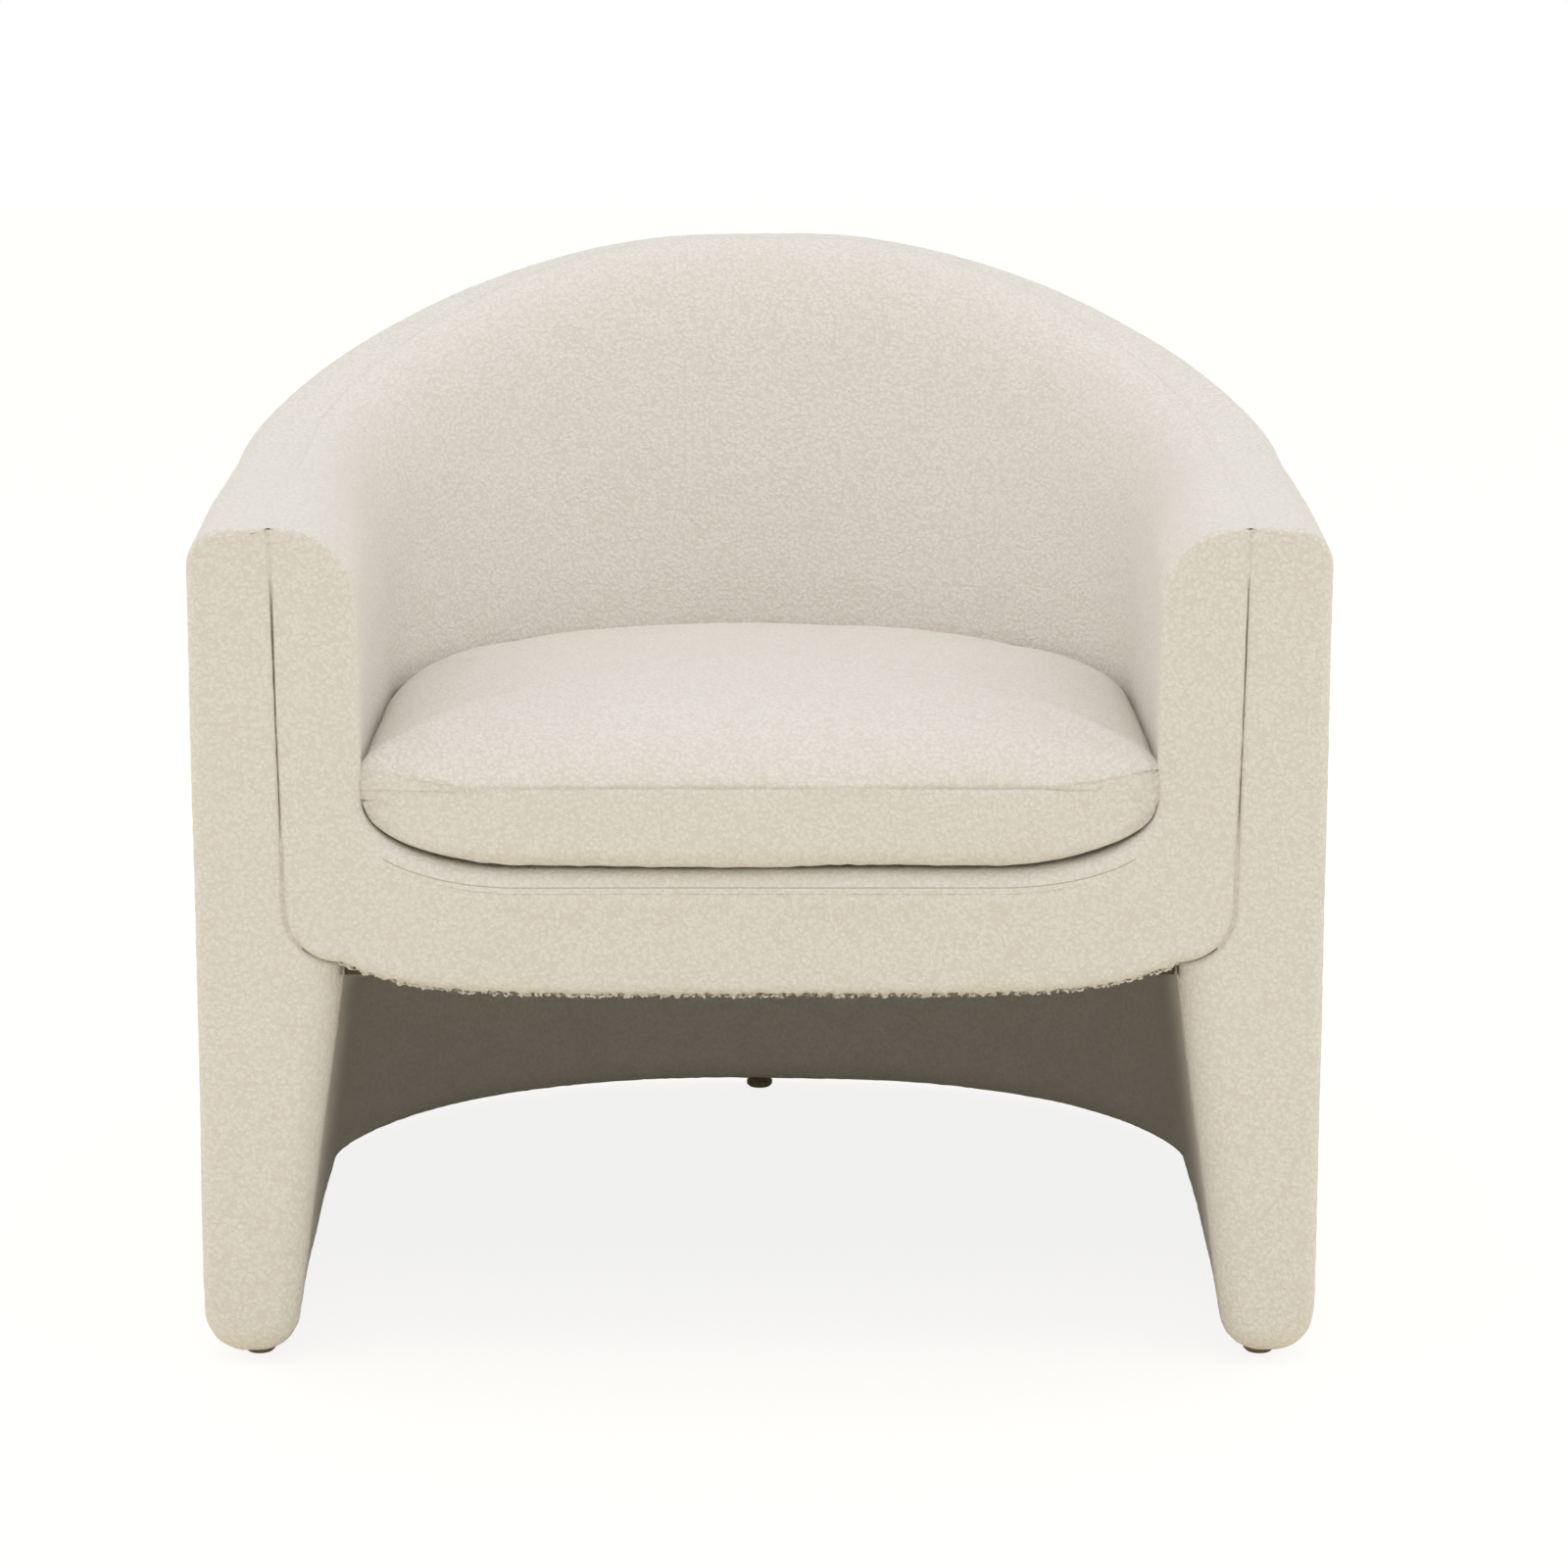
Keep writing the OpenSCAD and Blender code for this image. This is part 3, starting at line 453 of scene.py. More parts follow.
lip_turn = arc([SHELL_WALL - LIP, ARM_TOP - LIP], LIP, 0, 45, 4)
INNER = join(foot_turn, lining_rise, under_tuck, groove_rise, lip_turn)
lining_end = len(foot_turn) + len(lining_rise) - 2
OUTER = resample(OUTER, len(INNER))
print("rows up a leg:", len(OUTER), "of", len(INNER))

# %% The wrap, from the crevice over the rim to the lining
LOOP = join(OUTER, TOP, INNER[::-1], BOTTOM[::-1])[:-1]
n_outer, n_top, n_inner = len(OUTER), len(TOP), len(INNER)
at_top, at_inner = n_outer - 1, n_outer + n_top - 2
at_bottom = at_inner + n_inner - 1

# How far the leg's front rolls back: at its outer side, at its top, along the groove, and
# at its inside edge and its sole, which are the softest.
SIDE_ROLL = 9 * MM
TOP_ROLL = 4 * MM
GROOVE_ROLL = [5 * MM, 2 * MM]
INSIDE_HEIGHTS, INSIDE_ROLL = [0.05, 0.25], [20 * MM, 29 * MM]
SOLE_ROLL, SOLE_WIDTH = 21 * MM, 35 * MM


def soft_edges():
    """How far each point of the leg's loop rolls back."""
    radii = np.full(len(LOOP), SIDE_ROLL)
    e, z = LOOP[:, 0], LOOP[:, 1]
    index = np.arange(len(LOOP))
    inside = (index >= at_inner) & (index <= at_bottom)
    radii[(index >= at_top - 3) & (index <= at_inner)] = TOP_ROLL
    radii[inside] = np.interp(z, [TUCK_Z, ARM_TOP], GROOVE_ROLL)[inside]
    low = inside & (z < TUB_LOW_SIDE - 1 * MM)
    radii[low] = np.interp(z, INSIDE_HEIGHTS, INSIDE_ROLL)[low]
    radii[index > at_bottom] = SOLE_ROLL
    radii[(z < sole) & (e < SOLE_WIDTH)] = SOLE_ROLL
    return softened(radii, 4)


def shell_front(e, y, z):
    """Points on the leg's front, from how far in they lie from the shell's side."""
    return np.stack([shell.side_x(e, y), y + 0 * e, z], -1)


SOFT = soft_edges()
SHIFT = inward(LOOP) * SOFT[:, None]

# Round the tip, where the leg's inside edge runs in under the tub, the panel's edge would
# fold over itself. A smooth bend takes its place.
TIP_REACH, TIP_BEND = 30 * MM, 13 * MM
from_tip = np.hypot(LOOP[:, 0] - tip[0], LOOP[:, 1] - tip[1])
around_tip = np.nonzero(from_tip < TIP_REACH)[0]
front_edge = LOOP + SHIFT
bridge(front_edge, around_tip[0], around_tip[-1], TIP_BEND)
SHIFT = front_edge - LOOP
SOFT = np.minimum(np.linalg.norm(SHIFT, axis=1), INSIDE_ROLL[1])

# The front's seam makes its notch at the arm's top, but not inside the groove.
NOTCH_FROM, NOTCH_RUN, NOTCH_INSIDE = 0.560, 0.030, 0.059
near_top = np.clip((LOOP[:, 1] - NOTCH_FROM) / NOTCH_RUN, 0, 1)
near_top[LOOP[:, 0] > NOTCH_INSIDE] = 0
rolled = quarter_round(LOOP, SHIFT, SOFT, shell_front, near_top)
print("front rolls back by", (SOFT.min() / MM).round(1), "to", (SOFT.max() / MM).round(1), "mm")

# %% Carry the section round the plan
wrap_ids = np.concatenate([
    np.arange(at_inner + len(lip_turn) - 1, at_inner, -1), np.arange(at_inner, at_top, -1),
    np.arange(at_top, -1, -1), np.arange(len(LOOP) - 1, at_bottom - 1, -1),
    np.arange(at_bottom - 1, at_bottom - 1 - lining_end, -1)])
WRAP = LOOP[wrap_ids]
SHELL_STEP = 5.5 * MM
REAR_SEAM, REAR_DENT = 1.3 * MM, 1.6 * MM
CLIMB_WALL = 0.060
beside = np.array([-2, -1, 1, 2]) * REAR_SEAM / (shell.back * RIGHT_ANGLE)
along = np.sort(np.concatenate([shell.columns(SHELL_STEP), 2 + beside]))
seam_dent = REAR_DENT * np.exp(-((along - 2) / beside[2]) ** 2)
climb = rim(along) - ARM_TOP


def wrap_rows(chain, soft):
    """A row round the plan for each inset and height; the outside climbs with the rim."""
    rows = []
    for (e, z), r in zip(chain, soft):
        lining = e > EDGE and GROUND_GAP + FOOT_EDGE < z < SKIRT_TOP
        x, y = shell.place(e - seam_dent * lining, along, FRONT + r)
        under_rim = z < ARM_TOP - EDGE and e > EDGE
        climbs = e < CLIMB_WALL and not under_rim
        share = np.clip((z - sole) / (ARM_TOP - EDGE - sole), 0, 1) if climbs else 0.0
        rows.append(np.stack([x, y, z + share * climb], -1))
    return np.stack(rows)


wrap = wrap_rows(WRAP, SOFT[wrap_ids])
wrap[:, 0] = rolled[0, wrap_ids]
wrap[:, -1] = rolled[0, wrap_ids] * MIRROR

# Along the rim the cloth goes on down into the groove.
DEEP, HALF_DEEP = 14 * MM, 7 * MM
crevice_chain = np.array([[SHELL_WALL - 1.2 * MM, ARM_TOP - DEEP],
                          [SHELL_WALL - 0.4 * MM, ARM_TOP - HALF_DEEP], WRAP[0]])
wall = wrap_rows(crevice_chain, np.full(3, SOFT[wrap_ids[0]]))
for row, (e, z) in zip(wall, crevice_chain):
    row[:, 2] = z + climb
wall[-1] = wrap[0]
print("wrap", wrap.shape, "wall", wall.shape)

# %% The leg's front panel, and the cloth that goes back into the groove
panel = rolled[-1]
face = patch(panel[np.r_[at_bottom:len(LOOP), 0]][::-1], panel[at_top:at_inner + 1],
             panel[:at_top + 1], panel[at_bottom:at_inner - 1:-1])
groove_ids = np.arange(at_inner, at_bottom - lining_end + 1)
deep = LOOP[groove_ids] + inward(LOOP)[groove_ids] * 0.6 * MM
groove_wall = np.stack([shell_front(deep[:, 0], FRONT + d, deep[:, 1])
                        for d in (16 * MM, 10 * MM)] + [rolled[0, groove_ids]])
print("front panel", face.shape, "groove wall", groove_wall.shape)

# %% [markdown]
# The seam between shell and tub is a strip of cloth in the groove, wide enough to reach
# under both covers. It lies shallow along the rim and at the top of the front, and deep
# lower down, where the two cloths part. Without it one could look between the pads.

# %% The seam strips in the groove
STRIP = 5 * MM
STRIP_MIDDLE = 0.3 * MM
SEAM_HEIGHTS = [TUB_LOW_SIDE, 0.380, 0.430, 0.535, 0.575]
SEAM_DEPTHS = [3.2 * MM, 3.2 * MM, 7 * MM, 7 * MM, 1.0 * MM]
seam_path = join(line([FRONT_HALF - SHELL_WALL, ARM_TOP - 1 * MM], [TUCK_X + TUCK, TUCK_Z], 90),
                 arc([TUCK_X, TUCK_Z], TUCK, 0, -46, 20))
seam_way = np.gradient(seam_path, axis=0)
seam_way /= np.linalg.norm(seam_way, axis=1)[:, None]
seam_across = np.stack([-seam_way[:, 1], seam_way[:, 0]], 1)
seam_depth = np.interp(seam_path[:, 1], SEAM_HEIGHTS, SEAM_DEPTHS)
front_strip = [seam_path + seam_across * w for w in (-STRIP, STRIP_MIDDLE, STRIP)]
front_seam = np.stack([np.stack([q[:, 0], FRONT + seam_depth, q[:, 1]], 1)
                       for q in front_strip])
rim_seam = []
for w, up in ((-3 * MM, -0.5 * MM), (STRIP_MIDDLE, 0.2 * MM), (4 * MM, -0.5 * MM)):
    x, y = shell.place(SHELL_WALL + w, along, FRONT + 1.0 * MM)
    rim_seam.append(np.stack([x, y, rim(along) + up], 1))
rim_seam = np.stack(rim_seam)
print("seam strips", front_seam.shape, rim_seam.shape)

# %% Sew the shell's cloth and the pad under it
MID_WALL = 0.045
MID_RADIUS = 0.36
TUCK_DEPTH, TUCK_REACH, TUCK_BACK = 3 * MM, 30 * MM, 60 * MM


def away_from_wall(p):
    """Outwards from the middle line of the shell's wall."""
    side = 1 if p.x > 0 else -1
    if p.y < shell.turn_y:
        return (p.x - side * (shell.half - MID_WALL), 0.0, 0.0)
    bearing = math.atan2(p.y - shell.turn_y, p.x)
    radius = math.hypot(p.x, p.y - shell.turn_y)
    swing = 1 if radius > MID_RADIUS else -1
    return (swing * math.cos(bearing), swing * math.sin(bearing), 0.0)


def tucked(thing):
    """The cloth is pulled in where the leg's inside edge runs up under the tub."""
    points = coordinates(thing)
    x, y, z = np.abs(points[:, 0]), points[:, 1], points[:, 2]
    far = np.hypot(x - (FRONT_HALF - tip[0]), z - tip[1])
    near_front = np.clip((FRONT + TUCK_BACK - y) / TUCK_REACH, 0, 1)
    points[:, 1] += TUCK_DEPTH * np.exp(-((far / TUCK_REACH) ** 2)) * near_front
    set_coordinates(thing, points)


def sew_shell(name, whole):
    """The whole cloth, or only the parts that a pad under it follows."""
    skin = Pattern()
    skin.block(rolled, wrap=True)
    skin.block(face)
    if whole:
        skin.block(groove_wall)
        skin.block(front_seam)
    skin.mirrored()
    skin.block(wrap)
    if whole:
        skin.block(wall)
        skin.block(rim_seam)
    sewn = skin.sew(name, away_from_wall)
    tucked(sewn)
    return sewn


shell_cloth = sew_shell("shell_cloth", True)
shell_padding = sew_shell("shell_padding", False)
print("shell cloth points:", len(shell_cloth.data.vertices))

# %% [markdown]
# ## The tub's cloth
# The tub is the padded inside: a roll along the rim, an inside face that leans outwards going
# up, and a flat front that runs down one arm, across under the cushion and up the other. Its
# cover is sewn to the shell's in a narrow groove.

# %% Sizes of the tub's front
GAP = 0.6 * MM
DECK_FRONT = deck_box[1][2] + 1.4 * MM
PITCH = math.radians(2.5)
BAND_TOP = DECK_FRONT - 1 * MM
LIP_W, LIP_H = 110 * MM, 50 * MM
LIP_Z = BAND_TOP + LIP_H
groove = SHELL_WALL + GAP
ARM_X, GROOVE_X = FRONT_HALF - ARM, FRONT_HALF - groove
FAIR_X = 0.228


def bow(x):
    """The height of the tub's lower edge, which hangs down between the legs."""
    return TUB_LOW_MIDDLE + (TUB_LOW_SIDE - TUB_LOW_MIDDLE) * np.abs(x / TUCK_X) ** 6


print(f"the tub's opening is {2 * SEAT_FRONT:.3f} wide, its front starts at {BAND_TOP:.3f}")

# %% The loop round the tub's front
tub_lip = arc([GROOVE_X - LIP, ARM_TOP - LIP], LIP, 0, 90, 6)
roll = arc([ARM_X + ROLL, ARM_TOP - ROLL], ROLL, 90, 180, 25)
groove_down = line([GROOVE_X, ARM_TOP - LIP], [TUCK_X + TUCK - GAP, TUCK_Z], 53)
tuck_turn = arc([TUCK_X, TUCK_Z], TUCK - GAP, 0, -90, 15)
hem_x = np.linspace(TUCK_X, 0, 121)
hem = np.stack([hem_x, bow(hem_x) + GAP], 1)
inside_down = line(roll[-1], [SEAT_FRONT, LIP_Z], 30)
down = np.radians(np.linspace(0, -90, 40))
oval = np.stack([SEAT_FRONT - LIP_W + LIP_W * np.cos(down), LIP_Z + LIP_H * np.sin(down)], 1)
lip_flat = line(oval[-1], [0, BAND_TOP], 36)
half_roll = 12
TUB_TOP = resample(join(tub_lip[1:], roll[:half_roll + 1]), 12)
hem_side = hem[hem[:, 0] > FAIR_X]
outer_half = join(resample(join(tub_lip[:2][::-1], groove_down), 40),
                  resample(join(groove_down[-1:], tuck_turn), 16),
                  resample(join(tuck_turn[-1:], hem_side), 26),
                  resample(join(hem_side[-1:], hem[hem[:, 0] <= FAIR_X]), 110))
TUB_TOP[0] = outer_half[0]
inner_half = join(resample(join(roll[half_roll:], inside_down), 40),
                  resample(oval, 41), resample(lip_flat, 110))
print("tub front chains:", len(outer_half), len(inner_half))
TUB_OUTER = join(outer_half, outer_half[::-1] * MIRROR_FLAT)
TUB_INNER = join(inner_half, inner_half[::-1] * MIRROR_FLAT)
TUB_LOOP = join(TUB_OUTER, TUB_TOP * MIRROR_FLAT, TUB_INNER[::-1], TUB_TOP[::-1])[:-1]

# %% The tub's front, rolled back at its edges
size_out, size_top, size_in = len(TUB_OUTER), len(TUB_TOP), len(TUB_INNER)
left_top, left_in = size_out - 1, size_out + size_top - 2
right_in = left_in + size_in - 1

# How far the front rolls back: at the arm's top, along the groove from its foot to its top,
# along the hem, and along the opening from the band up to the arm's top.
ARM_TOP_ROLL = 4 * MM
TUB_GROOVE_ROLL = [6 * MM, 2 * MM]
HEM_ROLL = 9 * MM
OPENING_HEIGHTS = [BAND_TOP, LIP_Z, 0.560, 0.590]
OPENING_ROLL = [15 * MM, 14 * MM, 13 * MM, 4 * MM]


def tub_edges():
    """How far each point of the tub's loop rolls back."""
    index = np.arange(len(TUB_LOOP))
    x, z = np.abs(TUB_LOOP[:, 0]), TUB_LOOP[:, 1]
    radii = np.full(len(TUB_LOOP), ARM_TOP_ROLL)
    outside = index < size_out
    inside = (index >= left_in) & (index <= right_in)
    radii[outside] = np.interp(z, [TUCK_Z, ARM_TOP], TUB_GROOVE_ROLL)[outside]
    radii[outside & (z < TUB_LOW_SIDE + 3 * MM)] = HEM_ROLL
    radii[inside] = np.interp(z, OPENING_HEIGHTS, OPENING_ROLL)[inside]
    return softened(radii, 6)


def flat_front(x, y, z):
    """Points on the tub's front, which is flat."""
    return np.stack([x, y + 0 * x, z], -1)


tub_soft = tub_edges()
TUB_NOTCH_FROM, TUB_NOTCH_RUN = 0.562, 0.025
seam_end = np.clip((TUB_LOOP[:, 1] - TUB_NOTCH_FROM) / TUB_NOTCH_RUN, 0, 1)
seam_end[:size_out] = 0
away = inward(TUB_LOOP)
tub_rolled = quarter_round(TUB_LOOP, away * tub_soft[:, None], tub_soft, flat_front, seam_end)
tub_panel = tub_rolled[-1]
tub_face_grid = patch(tub_panel[np.r_[0, len(TUB_LOOP) - 1:right_in - 1:-1]],
                      tub_panel[left_top:left_in + 1],
                      tub_panel[:size_out], tub_panel[right_in:left_in - 1:-1])
print("tub front", tub_rolled.shape, tub_face_grid.shape)

# %% [markdown]
# A line of stitches runs along the band, a finger's width under its top edge, and holds the
# cover to the rail. It lies on the band's rounded edge, just above the flat panel. So the
# panel only has the foot of the stitches' dip, and below it the padding swells a little. The
# thread is the stitching itself, and its colour, darker than the cloth, is painted shade for
# the crease that the stitches pull in. It is laid on later, when the cloth lies still.

# %% The band's stitched line
STITCH_DROP = 10.5 * MM
STITCH_END, STITCH_FADE = 0.262, 0.02
DIP, DIP_WIDTH = 1.7 * MM, 2.4 * MM
SWELL, SWELL_DROP, SWELL_WIDTH = 0.8 * MM, 21 * MM, 7 * MM


def band_edge(x):
    """The height of the band's top edge, and how much closer a line along it lies there."""
    u = np.clip((np.abs(x) - (SEAT_FRONT - LIP_W)) / LIP_W, 0, 0.999)
    return LIP_Z - LIP_H * np.sqrt(1 - u * u), np.sqrt(1 - 0.6 * u * u)


top_z, slant = band_edge(tub_face_grid[..., 0])
below = (top_z - tub_face_grid[..., 2]) * slant
stitched = np.clip((STITCH_END - np.abs(tub_face_grid[..., 0])) / STITCH_FADE, 0, 1)
dip = DIP * np.exp(-((below - STITCH_DROP) / DIP_WIDTH) ** 2) * stitched
swell = SWELL * np.exp(-((below - SWELL_DROP) / SWELL_WIDTH) ** 2) * stitched
tub_face_grid[..., 1] += dip - swell
print("the band swells by", round(float(swell.max() / MM), 2), "mm below its stitches")

# %% [markdown]
# ## The tub's inside
# The inside is one surface, from the groove over the roll and down behind the cushion. Each
# of its rows starts at a point of the front's loop, so that the two can be sewn. At the arms
# the roll is tight. Behind them the padding is fuller, and the rim falls into the back in
# one slow curve.

# %% The inside face and the roll over it
DECK_HIDE = 0.345
ROLL_FALL = 115 * MM

# Where the roll starts to soften and over how long, as places along the plan, and how
# strongly the slow curve leaves the rim and arrives at the face.
SOFT_FROM, SOFT_RUN = 0.15, 0.75
RIM_PULL, FACE_PULL = 0.75, 0.55


def recess(places):
    """How far the face steps back behind the cushion, where the zip needs room."""
    return CREVICE * eased(np.clip((from_front(places) - 1) * 3, 0, 1))


def tub_wall(z, places, start, sink=0.0):
    """Points of the inside face at heights z for each place along the plan."""
    top = rim(places) - ROLL
    share = np.clip((z - CONTACT) / (top - CONTACT), 0, 1)
    low_x, low_y = seat.place(-sink * recess(places), places, start)
    high_x, high_y = shell.place(ARM, places, start)
    x = low_x + (high_x - low_x) * share
    y = low_y + (high_y - low_y) * share
    return np.stack([x, y, z + 0 * x], -1)


def soft_roll(row, share, places):
    """Bends a row towards the slow curve, more so the further it is behind the arms' fronts."""
    weight = eased(np.clip((from_front(places) - SOFT_FROM) / SOFT_RUN, 0, 1))[:, None]
    x, y = shell.place(groove, places, FRONT)
    x_in, y_in = shell.place(ARM, places, FRONT)
    top = np.stack([x, y, rim(places)], -1)
    towards = np.stack([x_in - x, y_in - y, 0 * x], -1)
    level = rim(places) - ROLL_FALL
    foot = tub_wall(level, places, FRONT)
    lean = tub_wall(level + 1 * MM, places, FRONT) - foot
    lean /= np.linalg.norm(lean, axis=1)[:, None]
    slow = slow_curve(share, top, top + towards * RIM_PULL,
                      foot + lean * FACE_PULL * ROLL_FALL, foot)
    return row + (slow - row) * weight


print("the roll falls into the back over", ROLL_FALL / MM, "mm")

# %% Rows of the inside face
# The rows follow the front's loop from the groove over the roll and down to the band's lip.
TUB_STEP = 4.2 * MM
HAIR = 1e-6
inner_places = seat.columns(TUB_STEP)
tub_rows, tub_ids = [], []
top_gap = rim(inner_places) - ARM_TOP
start_ids = np.r_[0:1, len(TUB_LOOP) - 1:right_in:-1, right_in:right_in - 100:-1]
roll_end = ARM_TOP - ROLL_FALL
roll_line = [TUB_LOOP[i] for i in start_ids if TUB_LOOP[i, 1] > roll_end]
roll_run = run_along(roll_line)
for number, i in enumerate(start_ids):
    x, z = TUB_LOOP[i]
    start = FRONT + tub_soft[i]
    if z < LIP_Z - HAIR:
        break
    if z > ARM_TOP - ROLL - 1e-9:
        px, py = shell.place(FRONT_HALF - x, inner_places, start)
        row = np.stack([px, py, z + top_gap], -1)
    else:
        share = (z - CONTACT) / (ARM_TOP - ROLL - CONTACT)
        level = CONTACT + share * (rim(inner_places) - ROLL - CONTACT) if share > 0 else z
        row = tub_wall(level, inner_places, start)
    if number < len(roll_run):
        row = soft_roll(row, roll_run[number] / roll_run[-1], inner_places)
    row[0] = tub_rolled[0, i]
    row[-1] = tub_rolled[0, i] * MIRROR
    tub_rows.append(row)
    tub_ids.append(i)
inside = np.stack(tub_rows)
low_rows = [tub_wall(LIP_Z, inner_places, FRONT + tub_soft[tub_ids[-1]])]
for z in np.linspace(LIP_Z - 1 * MM, DECK_HIDE, 12):
    low_rows.append(tub_wall(z, inner_places, FRONT + 30 * MM, 1.0))
below_lip = np.stack(low_rows)
print("inside rows:", inside.shape, "last height", float(inside[-1, 0, 2]), "lip", LIP_Z)

# %% [markdown]
# ## The tub's edges
# Where the cover ends, it goes on out of sight: back into the groove, back under the cushion
# and back under the lower front. There it is the hem, and behind it lies a dark strip that is
# painted shade, for the shadow under the seat. Small loops of yarn stand out along the hem,
# so they are made as rings, each turned its own way.

# %% Cloth that goes back from the front's edges
tub_crevice = []
for drop, shift in ((DEEP, 1.2 * MM), (HALF_DEEP, 0.3 * MM)):
    px, py = shell.place(groove + shift, inner_places, FRONT + tub_soft[0])
    tub_crevice.append(np.stack([px, py, rim(inner_places) - drop], -1))
tub_crevice = np.stack(tub_crevice + [inside[0]])


def back_wall(ids, depths, drift):
    """Rows that go straight back from part of the loop, to each depth behind the front."""
    flat = TUB_LOOP[ids]
    rows = [tub_rolled[0, ids]]
    for d in depths:
        q = flat + away[ids] * drift * d
        rows.append(flat_front(q[:, 0], FRONT + d, q[:, 1]))
    return np.stack(rows)


oval_ids = np.array([i for i in range(left_in, right_in + 1)
                     if TUB_LOOP[i, 1] < LIP_Z + HAIR])
hem_ids = np.array([i for i in range(size_out) if abs(TUB_LOOP[i, 0]) < TUCK_X + 1 * MM
                    and TUB_LOOP[i, 1] < TUB_LOW_SIDE + 1 * MM])
print("points along the opening:", len(oval_ids), "and along the hem:", len(hem_ids))

# %% A dark strip behind the hem, which is painted shade
dust_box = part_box("dust_cover")
UNDER = dust_box[0][2] - 0.8 * MM
hem_x, hem_z = TUB_LOOP[hem_ids].T
# The strip stands for the shadow under the seat: its dark colour is painted shade.
painted_shade_rows = np.stack([flat_front(hem_x, FRONT + back, height) for back, height in (
    (27 * MM, hem_z), (28.5 * MM, 0 * hem_x + UNDER), (70 * MM, 0 * hem_x + UNDER))])
print("edging from", float(hem_z.min()), "up to", UNDER)

# %% Loops of yarn along an edge
TUFT = 0.007
CURL, CURL_YARN, CURL_STEP = 1.8 * MM, 0.38, 2.6 * MM


def fringe(thing, low, depth, seed):
    """Lets the loops stand out unevenly along an edge; low is how near each point is to it."""
    points = coordinates(thing)
    dice = np.random.default_rng(seed)
    tufts = waves(points * [1, 0.3, 0.3], TUFT, seed) + dice.uniform(-1, 1, len(points)) * 0.8
    lift = depth * np.clip(tufts, -0.6, 2) * low
    set_coordinates(thing, points + normals(thing) * lift[:, None])


def curls(line, size, seed):
    """Small rings of yarn that stand out along a line, each turned its own way."""
    dice = np.random.default_rng(seed)
    turn = np.linspace(0, 2 * math.pi, 9)[:, None]
    around = np.linspace(0, 2 * math.pi, 5)[None, :-1]
    thin = CURL_YARN * size
    rings = []
    for spot in line:
        big = size * dice.uniform(0.7, 1.25)
        ring = np.stack([(big + thin * np.cos(around)) * np.cos(turn),
                         (big + thin * np.cos(around)) * np.sin(turn),
                         thin * np.sin(around) + 0 * turn], -1)
        way = Vector(dice.normal(size=3)).to_track_quat("Z", "Y").to_matrix()
        rings.append(ring @ np.array(way).T + spot + dice.uniform(-0.5, 0.5, 3) * size)
    return rings


curl_x = np.arange(-TUCK_X, TUCK_X, CURL_STEP)
curl_line = np.stack([curl_x, FRONT + 10 * MM + 0 * curl_x, bow(curl_x) - 0.3 * MM], 1)
hem_curls = curls(curl_line, size=CURL, seed=77)
print("rings of yarn along the hem:", len(hem_curls))

# %% Sew the tub's cloth, the pad under it and the edging
HEM_DEPTHS = (11 * MM, 18 * MM, 28 * MM)
OPENING_DEPTHS = (18 * MM, 25 * MM, 33 * MM)


def into_the_room(p):
    """The tub's cloth faces the person who sits in it."""
    return (-p.x, -0.3 - p.y, 0.2)


def sew_tub(name, whole):
    """The whole cloth, or only the parts that a pad under it follows."""
    skin = Pattern()
    skin.block(tub_rolled, wrap=True)
    skin.block(tub_face_grid)
    skin.block(inside)
    skin.block(below_lip)
    if whole:
        skin.block(back_wall(np.arange(size_out), HEM_DEPTHS, drift=0.02))
        skin.block(back_wall(oval_ids, OPENING_DEPTHS, drift=0.0))
        skin.block(tub_crevice)
        for ring in hem_curls:
            skin.block(ring, wrap=True)
    return skin.sew(name, into_the_room)


tub_cloth = sew_tub("tub_cloth", True)
tub_padding = sew_tub("tub_padding", False)
painted_shade_strip = Pattern()
painted_shade_strip.block(painted_shade_rows)
hem_painted_shade = painted_shade_strip.sew("hem_painted_shade", into_the_room)
print("tub cloth points:", len(tub_cloth.data.vertices))

# %% [markdown]
# ## The seat cushion
# The cushion is a bag of cloth, two panels sewn at half height, filled with foam in a fibre
# wrap. It starts a little flat. The lower panel rests on the deck and stays as it is, and a
# short cloth simulation blows the upper one up from the seam. Then the seam is pressed in and
# the skin is loosened a little, more where it is free than where it is squeezed.

# %% Shape the bag before it is filled
CUSHION_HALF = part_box("cushion_top_cover")[1][0]
CUSHION_REAR = FRONT + (SEAT_DEPTH - 0.011)
cushion = Plan(CUSHION_HALF + 3 * MM, CUSHION_REAR, corner=0.198, back=0.320)
CORNER_R = 12 * MM
CUSHION_Y0 = FRONT + 2 * MM
SEAM_UP = 60 * MM
HALF_BAND = 3.5 * MM
CROWN = 52.5 * MM
BAG_STEP = 7 * MM
FRONT_BOW = 4 * MM
FLARE, FLARE_REACH = 0.018, 70 * MM


def cushion_outline():
    """Edge of the cushion from the front middle, to the right, behind and back."""
    y0 = CUSHION_Y0 + CORNER_R
    places = cushion.columns(BAG_STEP, y0)
    x, y = cushion.place(0.0, places, y0)
    x0 = float(x[0]) - CORNER_R
    corner = arc([x0, y0], CORNER_R, -90, -2, 8)
    count = round(x0 / BAG_STEP)
    front_x = np.linspace(0, x0, count, endpoint=False)
    front = np.stack([front_x, CUSHION_Y0 - FRONT_BOW * (1 - (front_x / x0) ** 2)], 1)
    half = np.concatenate([front, corner])
    other_half = (half * MIRROR_FLAT)[::-1][:-1]
    ring = np.concatenate([half, np.stack([x, y], 1), other_half])
    ring[:, 0] *= 1 + FLARE * np.exp(-((ring[:, 1] - FRONT) / FLARE_REACH) ** 2)
    return ring


edge = cushion_outline()
middle = np.array([0.0, (CUSHION_Y0 + CUSHION_REAR) / 2])


